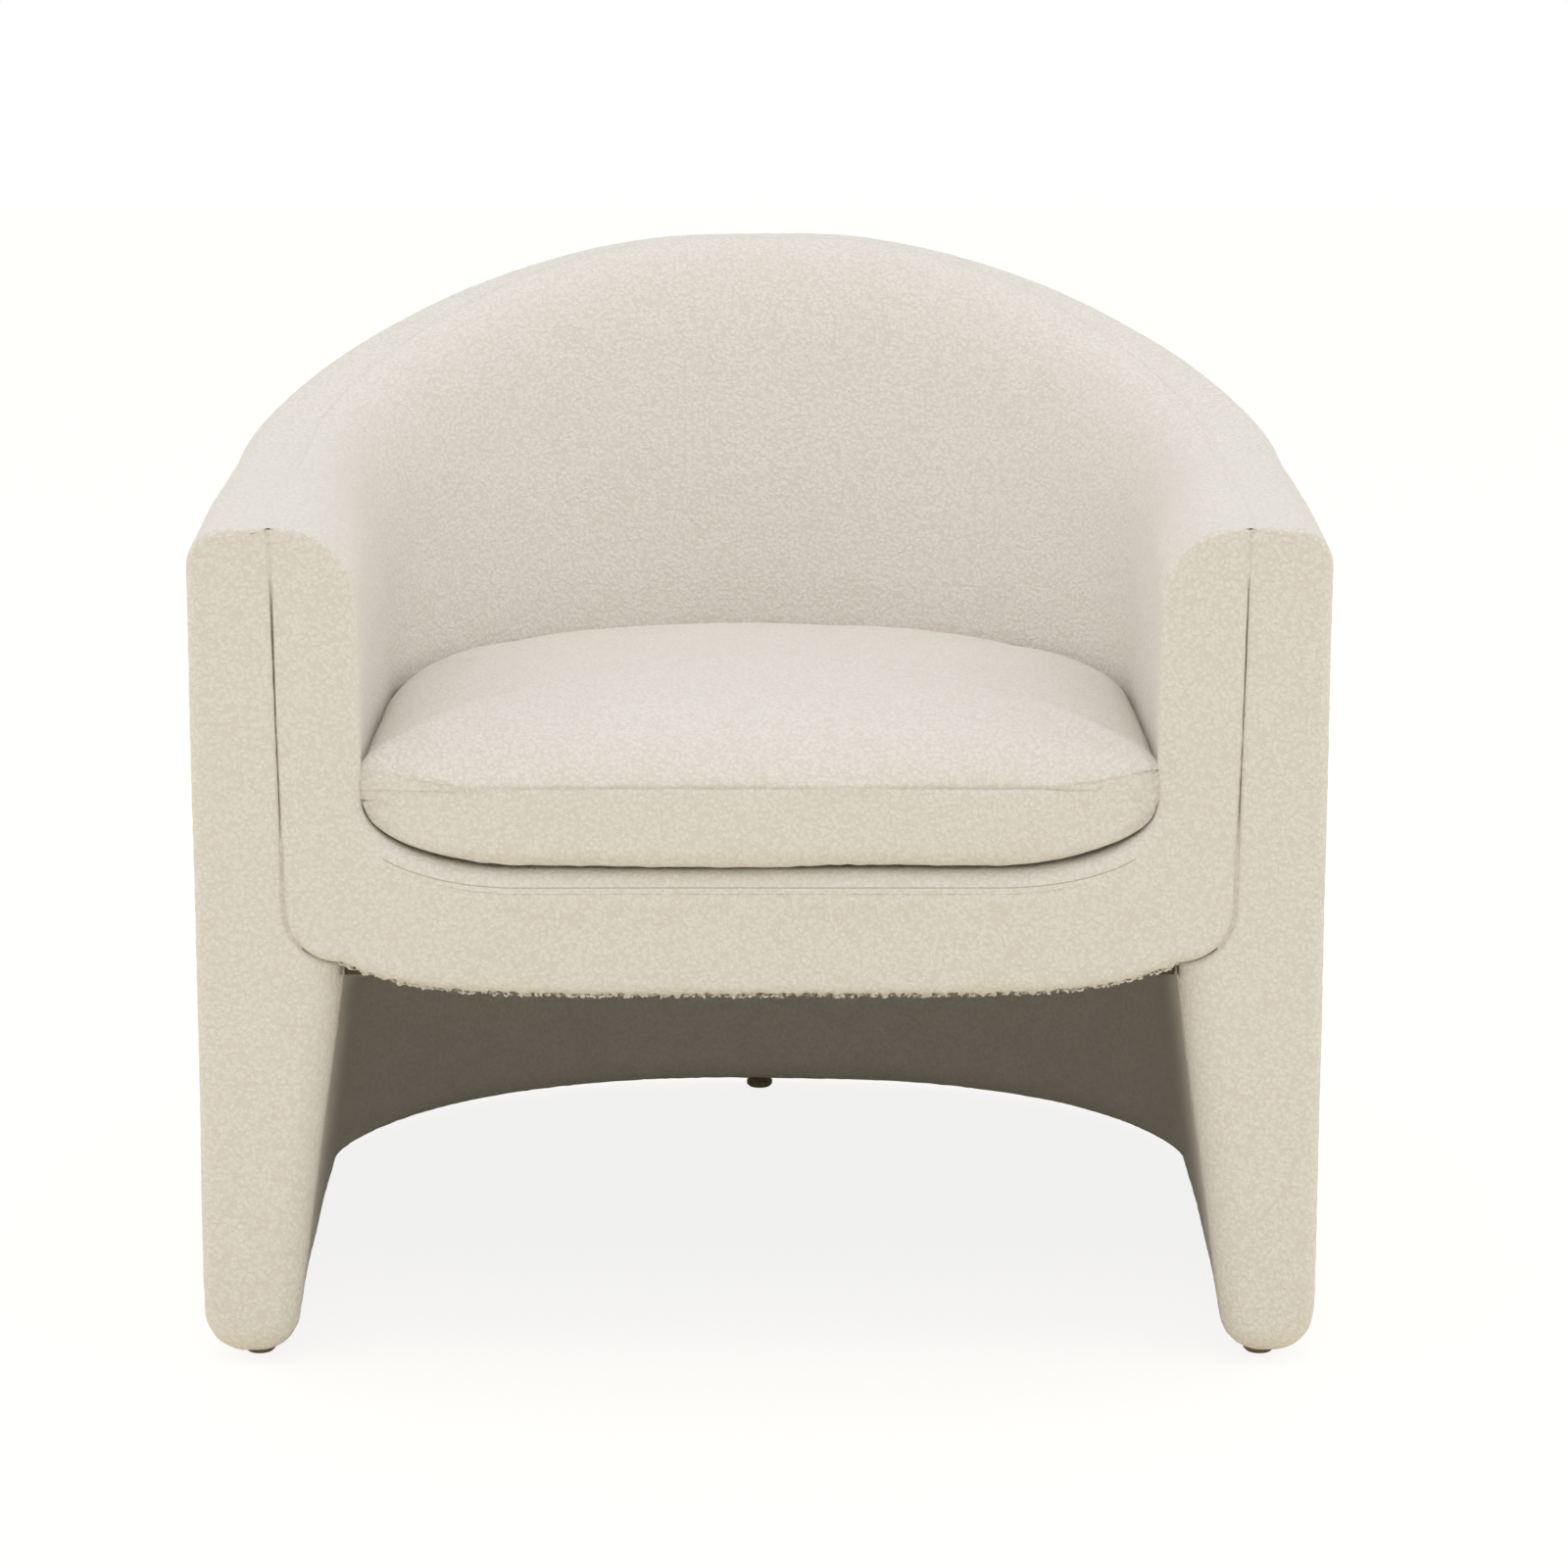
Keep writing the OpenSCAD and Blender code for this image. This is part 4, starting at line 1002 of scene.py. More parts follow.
def lip_rise(x, y):
    """How far the band's lip lifts the cushion off the deck, near the front."""
    u = np.clip((np.abs(x) - SEAT_FRONT + LIP_W) / LIP_W, 0, 0.9999)
    near = eased(np.clip((FRONT + 90 * MM - y) / (60 * MM), 0, 1))
    return near * (LIP_H * (1 - np.sqrt(1 - u * u)) + 1.0 * MM)


def cushion_ring(share, height):
    """The cushion's outline, shrunk to a share of its size, at a height above the deck."""
    ring = middle + (edge - middle) * share
    z = height + lip_rise(ring[:, 0], ring[:, 1]) * max(0.0, 1 - height / SEAM_UP)
    return np.stack([ring[:, 0], ring[:, 1], z], -1)


print("cushion outline points:", len(edge))

# %% The bag's two panels
CROWN_RISE = CROWN - HALF_BAND
CROWN_FLAT, CROWN_SHOULDER = 2.6, 0.29
REACH = 0.286
HEEL = 13 * MM
upper_shares = np.clip(1 - np.linspace(0, 1, 30) ** 1.5, 0, 1)
upper = [cushion_ring(s, SEAM_UP + HALF_BAND
                      + CROWN_RISE * max(0, 1 - s**CROWN_FLAT) ** CROWN_SHOULDER)
         for s in upper_shares]
lower_profile = join(line([0, SEAM_UP - HALF_BAND], [0, HEEL + 3 * MM], 8),
                     arc([HEEL, HEEL + 2 * MM], HEEL, 180, 255, 9),
                     np.stack([0.02 + (REACH - 0.02) * np.linspace(0, 1, 20) ** 1.3,
                               np.full(20, 0.0)], 1))
lower = [cushion_ring(1 - t / REACH, z) for t, z in lower_profile]
seam_ring = cushion_ring(1.0, SEAM_UP)
bag = Pattern()
bag.block(np.stack([seam_ring] + upper), wrap=True)
bag.block(np.stack([seam_ring] + lower), wrap=True)


def from_cushion_middle(p):
    """Outwards from the cushion, up and down most of all."""
    return (p.x, p.y + 0.09, (p.z - SEAM_UP) * 5)


cushion_cloth = bag.sew("seat_cushion_cloth", from_cushion_middle)
print("cushion points:", len(cushion_cloth.data.vertices))

# %% Fill the bag
FRAMES = 20


def averaged(thing, values, passes, held):
    """Each point's value drifts towards the mean of its neighbours; held points keep theirs."""
    ends = np.array([e.vertices[:] for e in thing.data.edges])
    joined = np.bincount(ends.ravel(), minlength=len(values))[:, None]
    own = values.copy()
    for _ in range(passes):
        beside = np.zeros_like(values)
        np.add.at(beside, ends[:, 0], values[ends[:, 1]])
        np.add.at(beside, ends[:, 1], values[ends[:, 0]])
        values = np.where(held[:, None], own, (values + beside / joined) / 2)
    return values


def fill(thing, pinned, pressure, cap):
    """Blows a skin up with the cloth simulation; no point moves further than the cap."""
    rest = coordinates(thing)
    group = thing.vertex_groups.new(name="resting")
    group.add([int(i) for i in np.nonzero(pinned)[0]], 1.0, "REPLACE")
    cloth = thing.modifiers.new("cloth", "CLOTH")
    settings = cloth.settings
    settings.use_pressure = True
    settings.uniform_pressure_force = pressure
    settings.vertex_group_mass = "resting"
    settings.effector_weights.gravity = 0.0
    settings.tension_stiffness = 12
    settings.compression_stiffness = 12
    settings.bending_stiffness = 2
    settings.quality = 6
    cloth.collision_settings.use_collision = False
    cloth.point_cache.frame_start = 1
    cloth.point_cache.frame_end = FRAMES
    for number in range(1, FRAMES + 1):
        bpy.context.scene.frame_set(number)
    blown = thing.evaluated_get(bpy.context.evaluated_depsgraph_get())
    flat = np.zeros(len(rest) * 3)
    blown.data.vertices.foreach_get("co", flat)
    move = flat.reshape(-1, 3) - rest
    length = np.linalg.norm(move, axis=1)
    print(f"cloth moved {length.mean() / MM:.1f} mm on average, {length.max() / MM:.1f} at most")
    move *= np.minimum(1, cap / np.maximum(length, 1e-9))[:, None]
    move = averaged(thing, move * ~pinned[:, None], passes=14, held=pinned)
    thing.modifiers.remove(cloth)
    bpy.context.scene.frame_set(1)
    set_coordinates(thing, rest + move)


unfilled = coordinates(cushion_cloth)
at_seam = np.abs(unfilled[:, 2] - SEAM_UP) < 0.1 * MM
under_seam = unfilled[:, 2] < SEAM_UP
flowing = averaged(cushion_cloth, unfilled, passes=60, held=unfilled[:, 2] < SEAM_UP + 10 * MM)
unfilled[:, 2] = flowing[:, 2]
set_coordinates(cushion_cloth, unfilled)
fill(cushion_cloth, under_seam | at_seam, pressure=2.5, cap=3.5 * MM)

# %% Keep the bag inside its seat and lay it on the deck
SAG = 3 * MM
BULGE = 0.015
SIDE_PLAY = 1.5 * MM
limit_y = np.linspace(FRONT, CUSHION_REAR, 60)
limit_x = []
for y_here in limit_y:
    close = edge[np.argsort(np.abs(edge[:, 1] - y_here))[:4]]
    limit_x.append(float(np.abs(close[:, 0]).max()) + SIDE_PLAY)


def settle(thing):
    """The seam sags at the sides, the panel bulges above it, and the seat holds them both."""
    x, y, z = coordinates(thing).T
    beside_seam = np.clip(1 - np.abs(z - SEAM_UP) / (50 * MM), 0, 1)
    z = z - SAG * np.abs(x / CUSHION_HALF) ** 4 * beside_seam
    z = np.maximum(z, lip_rise(x, y) * 0.98)
    z = np.minimum(z, SEAM_UP + CROWN + 4 * MM)
    limit = np.interp(y, limit_y, limit_x)
    x = np.clip(x, -limit, limit)
    x = x * (1 + BULGE * np.sin(math.pi * np.clip((z - SEAM_UP) / (60 * MM), 0, 1)))
    y = np.minimum(y, CUSHION_REAR + 2 * MM)
    return np.stack([x, y, z], 1)


settled = settle(cushion_cloth)
settled[:, 2] += DECK_FRONT - math.tan(PITCH) * (settled[:, 1] - FRONT)
set_coordinates(cushion_cloth, settled)
print("cushion laid on the deck, up to", settled[:, 2].max().round(4))

# %% Loosen the cushion's skin
# The points lie closest at the middle and under the seam, so they move less there.
CALM_MIDDLE = 90 * MM
CALM_UNDER = 0.4
lift = waves(settled, 0.15, 5) * 1.2 * MM + waves(settled, 0.06, 6) * 0.5 * MM
jitter = np.random.default_rng(7).uniform(-1, 1, len(settled)) * 0.3 * MM
from_middle = np.hypot(settled[:, 0], settled[:, 1] - middle[1])
jitter *= np.clip(from_middle / CALM_MIDDLE, 0, 1) ** 2
jitter[under_seam] *= CALM_UNDER
set_coordinates(cushion_cloth, settled + normals(cushion_cloth)
                * ((lift + jitter) * ~at_seam)[:, None])
print("cushion waves up to", round(float(np.abs(lift).max() / MM), 2), "mm")

# %% Press in the seam
PRESSED = 1.5 * MM
PRESS_END, PRESS_FADE = 0.245, 0.03


def press_seam(thing, seam, depth):
    """Cuts a row of points on each side of the seam, then presses the seam in.

    The seam's front ends lie against the arms and stay flat.
    """
    x, y, _ = coordinates(thing).T
    fade = np.clip((PRESS_END - np.abs(x)) / PRESS_FADE, 0, 1)
    share = np.where(y < FRONT + 60 * MM, fade, 1)
    inward_way = -normals(thing) * share[:, None]
    mesh = bmesh.new()
    mesh.from_mesh(thing.data)
    mesh.verts.ensure_lookup_table()
    rungs = [e for e in mesh.edges if seam[e.verts[0].index] != seam[e.verts[1].index]]
    bmesh.ops.subdivide_edges(mesh, edges=rungs, cuts=1, use_grid_fill=True)
    mesh.verts.ensure_lookup_table()
    for index in np.nonzero(seam)[0]:
        mesh.verts[index].co += Vector(inward_way[index]) * depth
    mesh.to_mesh(thing.data)
    mesh.free()
    thing.data.shade_smooth()


press_seam(cushion_cloth, at_seam, PRESSED)
print("cushion from", coordinates(cushion_cloth).min(0).round(4), "to",
      coordinates(cushion_cloth).max(0).round(4))

# %% [markdown]
# ## The padding
# Under the cloths lie the pads that give the chair its shape: foam on the shell and the tub,
# and a fibre wrap round the cushion's core. Each follows its cloth a few millimetres further
# in, so it is made from the cloth's own pattern, moved inwards and with fewer points.

# %% Pads under the cloths
PAD_DEPTH = 3.0 * MM
TIGHT = -0.55


def surface_tree(thing):
    """The piece's surface, ready to be asked where it lies."""
    return BVHTree.FromPolygons(coordinates(thing).tolist(),
                                [list(f.vertices) for f in thing.data.polygons])


def shrink(thing, keep):
    """Moves a skin inwards, keeps that share of its faces, and trims its tight corners."""
    cloth = surface_tree(thing)
    set_coordinates(thing, coordinates(thing) - normals(thing) * PAD_DEPTH)
    fewer = thing.modifiers.new("fewer", "DECIMATE")
    fewer.ratio = keep
    done = bpy.data.meshes.new_from_object(
        thing.evaluated_get(bpy.context.evaluated_depsgraph_get()))
    done.name = thing.name
    thing.modifiers.remove(fewer)
    pad = bmesh.new()
    pad.from_mesh(done)
    tight = []
    for point in pad.verts:
        near, facing, _, _ = cloth.find_nearest(point.co)
        if (point.co - near).dot(facing) > TIGHT * PAD_DEPTH:
            tight.append(point)
    bmesh.ops.delete(pad, geom=tight, context="VERTS")
    pad.to_mesh(done)
    pad.free()
    thing.data = done
    print(thing.name, "points:", len(done.vertices))


cushion_padding = new_object("cushion_padding", cushion_cloth.data.copy())
shrink(shell_padding, keep=0.12)
shrink(tub_padding, keep=0.15)
shrink(cushion_padding, keep=0.2)

# %% [markdown]
# ## The deck and the dust cloth
# Under the cushion, a plain lining cloth is stretched over the webbing and its thin foam.
# Under the seat, a thin black cloth closes the frame. Both are stretched sheets that sag a
# little between the rails that they are fixed to.

# %% Two stretched sheets
SHEET_STEP = 12 * MM
SHEET_DROP = 0.6 * MM


def stretched(name, plan_edge, centre, height, sag):
    """A sheet inside an edge, which sags most at its centre."""
    rows = []
    for share in np.linspace(1, 0, 26):
        ring = centre + (plan_edge - centre) * share
        drop = sag * (1 - share**2)
        rows.append(np.stack([ring[:, 0], ring[:, 1], height(ring[:, 1]) - drop], -1))
    sheet = Pattern()
    sheet.block(np.stack(rows), wrap=True)
    return sheet.sew(name, lambda p: (0, 0, 1))


def inside_edge(plan, inset, start):
    """The closed outline of a sheet: the plan behind, and a straight line in front."""
    x, y = plan.place(inset, plan.columns(SHEET_STEP, start), start)
    count = round(2 * float(x[0]) / SHEET_STEP)
    front_x = np.linspace(-float(x[0]), float(x[0]), count)[1:-1]
    return np.concatenate([np.stack([x, y], 1), np.stack([front_x, start + 0 * front_x], 1)])


def deck_level(y):
    """The deck slopes down towards the rear."""
    return DECK_FRONT - math.tan(PITCH) * (y - FRONT) - SHEET_DROP


deck_edge = inside_edge(seat, 1.5 * MM, deck_box[0][1])
deck_cloth = stretched("deck_cloth", deck_edge, np.array([0, -0.08]), deck_level, 2 * MM)
dust_edge = inside_edge(shell, skirt(SKIRT_TOP) + 1 * MM, dust_box[0][1])
dust_cloth = stretched("dust_cloth", dust_edge, np.array([0, -0.04]),
                       lambda y: dust_box[0][2] + SHEET_DROP + 0 * y, 1.5 * MM)
print("deck and dust cloth:", len(deck_cloth.data.vertices), len(dust_cloth.data.vertices))

# %% [markdown]
# ## Finishes
# A shader is a small sum: where a point lies, how high the cloth stands there, how dark it is.
# One class holds a socket and lets Python write that sum, and one method makes every other
# node.

# %% A small language for shaders


def colour(red, green, blue):
    """A colour from its screen values, 0 to 255, in the linear units that shaders use."""
    parts = [v / 255 for v in (red, green, blue)]
    return tuple(v / 12.92 if v <= 0.04045 else ((v + 0.055) / 1.055) ** 2.4 for v in parts) + (1,)


class Value:
    """A socket; the operators add the Math nodes that they stand for."""

    def __init__(self, finish, socket):
        self.finish, self.socket = finish, socket

    def maths(self, operation, first, second):
        return self.finish.node("ShaderNodeMath", {"operation": operation}, {0: first, 1: second})

    def __add__(self, other):
        return self.maths("ADD", self, other)

    def __radd__(self, other):
        return self.maths("ADD", other, self)

    def __sub__(self, other):
        return self.maths("SUBTRACT", self, other)

    def __rsub__(self, other):
        return self.maths("SUBTRACT", other, self)

    def __mul__(self, other):
        return self.maths("MULTIPLY", self, other)

    def __rmul__(self, other):
        return self.maths("MULTIPLY", other, self)

    def __pow__(self, other):
        return self.maths("POWER", self, other)


class Nodes:
    """A node tree whose nodes are made one call at a time."""

    def __init__(self, tree):
        self.tree = tree

    def node(self, kind, settings=None, inputs=None, out=0):
        """A node of that kind: its settings first, then its sockets' values or links."""
        made = self.tree.nodes.new(kind)
        for key, value in (settings or {}).items():
            setattr(made, key, value)
        for key, value in (inputs or {}).items():
            if isinstance(value, Value):
                self.tree.links.new(value.socket, made.inputs[key])
            else:
                made.inputs[key].default_value = value
        return Value(self, made.outputs[out])


class Finish(Nodes):
    """A material, with the nodes that its cloth, wood or metal needs most."""

    def __init__(self, name):
        self.material = bpy.data.materials.new(name)
        self.material.use_nodes = True
        super().__init__(self.material.node_tree)
        self.surface = self.tree.nodes["Principled BSDF"]
        self.output = self.tree.nodes["Material Output"]

    def place(self):
        return self.node("ShaderNodeTexCoord", out="Object")

    def noise(self, place, scale, detail=2.0, roughness=0.5, out="Fac"):
        return self.node("ShaderNodeTexNoise", {}, {
            "Vector": place, "Scale": scale, "Detail": detail, "Roughness": roughness}, out)

    def stretch(self, place, scales):
        return self.node("ShaderNodeVectorMath", {"operation": "MULTIPLY"}, {0: place, 1: scales})

    def bend(self, place, scale, amount):
        wander = self.noise(place, scale, 2.0, 0.6, "Color")
        centred = self.node("ShaderNodeVectorMath", {"operation": "SUBTRACT"},
                            {0: wander, 1: (0.5, 0.5, 0.5)})
        step = self.stretch(centred, (amount, amount, amount))
        return self.node("ShaderNodeVectorMath", {"operation": "ADD"}, {0: place, 1: step})

    def blend(self, share, first, second):
        return self.node("ShaderNodeMix", {"data_type": "RGBA"},
                         {0: share, 6: first, 7: second}, 2)

    def between(self, value, low, high):
        """The value carried from low..high to 0..1 and held there."""
        return self.node("ShaderNodeMapRange", {"clamp": True},
                         {"Value": value, "From Min": low, "From Max": high})

    def bump(self, height, strength, distance):
        return self.node("ShaderNodeBump", {}, {
            "Height": height, "Strength": strength, "Distance": distance})

    def paint(self, **sockets):
        for key, value in sockets.items():
            socket = self.surface.inputs[key.replace("_", " ")]
            if isinstance(value, Value):
                self.tree.links.new(value.socket, socket)
            else:
                socket.default_value = value
        return self.material


print("white in a shader's units:", colour(255, 255, 255))

# %% [markdown]
# ## Looped cloth
# The cover is woven from a yarn with loops, three or four millimetres across, that lie over
# each other in every direction. Round cells, bent by a noise, stand for the loops. A finer
# noise is the fluff on the yarn. The loops' tops are pale, and the gaps between them get a
# darker, warmer tone that is painted shade.

# %% Looped cloth


def looped_cloth(name, pale, gap_shade):
    """Loops, the strands that part them, and fluff; the tone is painted shade, darker where a point
    stands low.
    """
    f = Finish(name)
    place = f.place()
    bent = f.bend(place, 260.0, 0.0040)
    loops = f.node("ShaderNodeTexVoronoi", {"feature": "F1"},
                   {"Vector": bent, "Scale": 310.0, "Randomness": 1.0}, "Distance")
    strands = f.node("ShaderNodeTexVoronoi", {"feature": "DISTANCE_TO_EDGE"},
                     {"Vector": f.bend(place, 520.0, 0.003), "Scale": 430.0}, "Distance")
    fluff = f.noise(place, 950.0, 3.0, 0.65)
    patches = f.noise(place, 26.0, 2.0)
    dome = 1 - f.between(loops, 0.05, 0.72) ** 1.6
    height = dome + 0.5 * f.between(strands, 0.0, 0.30) + 0.45 * fluff
    lit = f.between(height + 0.25 * patches, 0.45, 1.75)
    # The tone is painted shade: low points between the loops take the darker colour.
    tone = f.blend(lit, gap_shade, pale)
    return f.paint(Base_Color=tone, Roughness=0.94, Specular_IOR_Level=0.22,
                   Sheen_Weight=0.12, Sheen_Roughness=0.6,
                   Normal=f.bump(height, 0.5, 1.4 * MM))


# The second colour is painted shade for the gaps between the loops.
PALE = colour(240, 236, 229)
GAP_SHADE = colour(226, 219, 207)
finishes = {"looped_cloth": looped_cloth("looped cloth", PALE, GAP_SHADE)}
print("looped cloth nodes:", len(finishes["looped_cloth"].node_tree.nodes))

# %% [markdown]
# ## Finishes of the hidden pieces
# Linings, webbing, foam, wood and metal are seen from below, or when the chair is taken
# apart. Each has its own grain at its own scale.

# %% Cloths, foam and webbing


def woven(name, light, dark, threads, strength=0.3):
    """Two sets of threads that cross, with fluff on them and slow changes of tone."""
    f = Finish(name)
    place = f.place()
    warp, weft = [
        f.node("ShaderNodeTexWave", {"wave_type": "BANDS", "bands_direction": way},
               {"Vector": place, "Scale": threads, "Distortion": 1.2, "Detail Scale": 9.0})
        for way in "XY"]
    weave = warp * weft + 0.4 * f.noise(place, threads * 3, 2.0)
    tone = f.blend(f.between(weave + 0.3 * f.noise(place, 20.0), 0.1, 1.3), dark, light)
    return f.paint(Base_Color=tone, Roughness=0.9, Specular_IOR_Level=0.25,
                   Normal=f.bump(weave, strength, 0.4 * MM))


def porous(name, light, dark, scale, strength):
    """Foam or fibre: small cells, each a little hollow."""
    f = Finish(name)
    place = f.place()
    cells = f.node("ShaderNodeTexVoronoi", {"feature": "F1"},
                   {"Vector": f.bend(place, scale, 0.4 / scale), "Scale": scale}, "Distance")
    tone = f.blend(f.between(cells + 0.3 * f.noise(place, 14.0), 0.1, 0.9), light, dark)
    return f.paint(Base_Color=tone, Roughness=0.95, Specular_IOR_Level=0.2,
                   Normal=f.bump(1 - cells, strength, 0.8 * MM))


finishes["lining_cloth"] = woven("lining cloth", colour(226, 221, 208), colour(196, 188, 170), 620)
finishes["dust_cloth"] = woven("dust cloth", colour(58, 56, 54), colour(30, 29, 28), 420)
finishes["webbing"] = woven("webbing", colour(74, 72, 70), colour(34, 33, 32), 300, 0.6)
finishes["zip_cloth"] = woven("zip tape", colour(228, 222, 208), colour(198, 189, 170), 900)
finishes["foam"] = porous("foam", colour(236, 226, 186), colour(214, 200, 152), 700.0, 0.5)
finishes["fibre"] = porous("fibre wrap", colour(240, 240, 238), colour(220, 220, 216), 260.0, 0.4)
print("finishes so far:", ", ".join(finishes))

# %% Woods, metal and plastic


def wood(name, light, dark, grain):
    """Wavy growth rings, stretched as the grain says, and fine pores."""
    f = Finish(name)
    place = f.bend(f.stretch(f.place(), grain), 1.2, 0.25)
    lines = f.node("ShaderNodeTexWave", {"wave_type": "BANDS", "bands_direction": "DIAGONAL"},
                   {"Vector": place, "Scale": 3.0, "Distortion": 5.0, "Detail": 3.0})
    pores = f.noise(f.stretch(f.place(), (60.0, 60.0, 900.0)), 1.0, 3.0)
    tone = f.blend(f.between(0.6 * lines + 0.5 * pores, 0.1, 1.0), dark, light)
    return f.paint(Base_Color=tone, Roughness=0.6 + 0.15 * pores,
                   Normal=f.bump(pores + 0.4 * lines, 0.25, 0.3 * MM))


def plain(name, light, dark, rough, metallic=0.0, grain=400.0):
    """A hard smooth stuff with faint marks of its making."""
    f = Finish(name)
    marks = f.noise(f.place(), grain, 4.0, 0.6)
    tone = f.blend(f.between(marks, 0.3, 0.7), dark, light)
    return f.paint(Base_Color=tone, Metallic=metallic, Roughness=rough + 0.2 * marks,
                   Normal=f.bump(marks, 0.1, 0.1 * MM))


PLY_GRAIN, TIMBER_GRAIN = (4.0, 40.0, 4.0), (3.0, 3.0, 40.0)
finishes["plywood"] = wood("plywood", colour(222, 190, 142), colour(176, 134, 86), PLY_GRAIN)
finishes["timber"] = wood("timber", colour(226, 200, 158), colour(188, 152, 104), TIMBER_GRAIN)
finishes["hardboard"] = plain("hardboard", colour(132, 96, 62), colour(98, 68, 42), 0.6, 0.0, 900.0)
finishes["zip_plastic"] = plain("zip teeth", colour(232, 228, 216), colour(214, 208, 192), 0.35)
finishes["steel"] = plain("steel", colour(196, 196, 198), colour(150, 150, 154), 0.25, 1.0, 1500.0)
finishes["glide_plastic"] = plain("glide plastic", colour(142, 124, 100), colour(112, 95, 74), 0.5)
print("finishes:", len(finishes))

# %% [markdown]
# ## Dress the model
# Every hard node gets the finish of its slot in the record. A slot is a place for a finish,
# so that the wood, the foam or the cover can be given another one later.

# %% Finishes for the nodes
node_slots = {part["node"]: part["material_slot"] for part in frame["record"]["subparts"]}
for name, thing in frame["nodes"].items():
    thing.data.materials.clear()
    thing.data.materials.append(finishes[node_slots[name]])
print("nodes dressed:", len(frame["nodes"]))

# %% [markdown]
# ## Loosen the cloths
# Sewn cloth never lies dead flat, so both covers are loosened, all but a band along the rim's
# seam, which is pulled tight. Where the cloth is turned over an edge, along the hem and under
# the cushion's front, its loops stand out.

# %% Loosen the cloths
CALM, CALM_FADE = 3 * MM, 12 * MM
HEM_FRINGE, FOLD_FRINGE = 1.3 * MM, 0.8 * MM
FOLD_UP, FOLD_HALF = 7 * MM, 9 * MM
FOLD_END, FOLD_FADE = 0.235, 0.03


def loosen_but(thing, soft, loops, seed, line):
    """Loosens a cloth, but leaves it as it lies along a line."""
    before = coordinates(thing)
    loosen(thing, soft, loops, seed)
    after = coordinates(thing)
    tree = KDTree(len(line))
    for number, spot in enumerate(line):
        tree.insert(spot, number)
    tree.balance()
    far = np.array([tree.find(spot)[2] for spot in before])
    share = np.clip((far - CALM) / CALM_FADE, 0, 1)[:, None]
    set_coordinates(thing, before + (after - before) * share)


loosen_but(shell_cloth, soft=0.5 * MM, loops=0.16 * MM, seed=11, line=rim_seam[1])
loosen_but(tub_cloth, soft=0.6 * MM, loops=0.16 * MM, seed=21, line=rim_seam[1])

x, y, z = coordinates(tub_cloth).T
above_hem = np.abs(z - bow(np.minimum(np.abs(x), TUCK_X)))
on_hem = (np.clip(1 - above_hem / (5 * MM), 0, 1) * (y < FRONT + 20 * MM)
          * (np.abs(x) < TUCK_X))
fringe(tub_cloth, on_hem, depth=HEM_FRINGE, seed=31)

x, y, z = coordinates(cushion_cloth).T
above_deck = z - deck_level(y) - lip_rise(x, y)
on_fold = (np.clip(1 - np.abs(above_deck - FOLD_UP) / FOLD_HALF, 0, 1)
           * np.clip((FOLD_END - np.abs(x)) / FOLD_FADE, 0, 1) * (y < FRONT + 25 * MM))
fringe(cushion_cloth, on_fold, depth=FOLD_FRINGE, seed=41)
print("points on the hem:", int((on_hem > 0).sum()), "on the fold:", int((on_fold > 0).sum()))

# %% [markdown]
# The thread of the band's stitched line is a thin round cord. A ray is sent from the front
# to the band at each of its points, so that the thread lies half sunk in the cloth.

# %% Lay the thread
THREAD = 0.5 * MM
THREAD_SUNK = 0.2 * MM
thread_x = np.linspace(-STITCH_END, STITCH_END, 300)
thread_top, thread_slant = band_edge(thread_x)
thread_z = thread_top - STITCH_DROP / thread_slant
band_face = surface_tree(tub_cloth)
thread_y = np.array([band_face.ray_cast(Vector((x, FRONT - 0.02, z)), Vector((0, 1, 0)))[0].y
                     for x, z in zip(thread_x, thread_z)])
stitching = Pattern()
stitching.block(np.stack([
    np.stack([thread_x, thread_y + THREAD_SUNK + THREAD * math.cos(turn),
              thread_z + THREAD * math.sin(turn)], 1)
    for turn in np.linspace(0, 2 * math.pi, 7)]))
stitch_shade_thread = stitching.sew("stitch_shade_thread", into_the_room)
print("thread points:", len(stitch_shade_thread.data.vertices))

# %% [markdown]
# ## Soft pieces on their bodies
# Each soft piece takes the finish of its slot, rides on its body, and hides the plain solids
# that it covers, so that it stands in their place.

# %% Dress the soft pieces


def dress(thing, slot, body, *nodes):
    thing.data.materials.append(finishes[slot])
    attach(thing, body)
    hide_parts(*nodes)
    print(thing.name, "rides on", body, "and stands for", ", ".join(nodes))


dress(shell_cloth, "looped_cloth", "chair", "outside_cover", "skirt_lining_left",
      "skirt_lining_right", "leg_facing_left", "leg_facing_right")
dress(shell_padding, "foam", "chair", "side_foam_left", "side_foam_right", "back_foam_left",
      "back_foam_right", "leg_foam")
dress(tub_padding, "foam", "chair", "tub_foam", "front_foam")
dress(cushion_padding, "fibre", "seat_cushion", "cushion_wrap")
dress(tub_cloth, "looped_cloth", "chair", "tub_cover", "front_facing", "band_cloth")
# The thread is real stitching; its colour, darker than the cloth, is painted shade for the crease.
stitch_shade_thread.data.materials.append(
    woven("thread", colour(206, 200, 185), colour(186, 179, 162), 900.0))
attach(stitch_shade_thread, "chair")
dress(cushion_cloth, "looped_cloth", "seat_cushion", "cushion_top_cover", "cushion_bottom_cover")
dress(deck_cloth, "lining_cloth", "chair", "deck_cover")
dress(dust_cloth, "dust_cloth", "chair", "dust_cover")
# The strip's dark brown is painted shade, for the shadow under the seat behind the hem.
hem_painted_shade.data.materials.append(woven("painted_shade_strip", colour(104, 92, 76), colour(84, 73, 60), 700.0))
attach(hem_painted_shade, "chair")

# %% [markdown]
# ## Floor, light and camera
# A pale floor carries the chair and keeps a soft shadow of it. Only the camera sees the glow
# that is mixed into it, so it looks nearly white and throws no extra light on the chair. The
# light is wide and even: a soft lamp overhead, a stronger one at each side and a little in
# front, and a pale room all round.

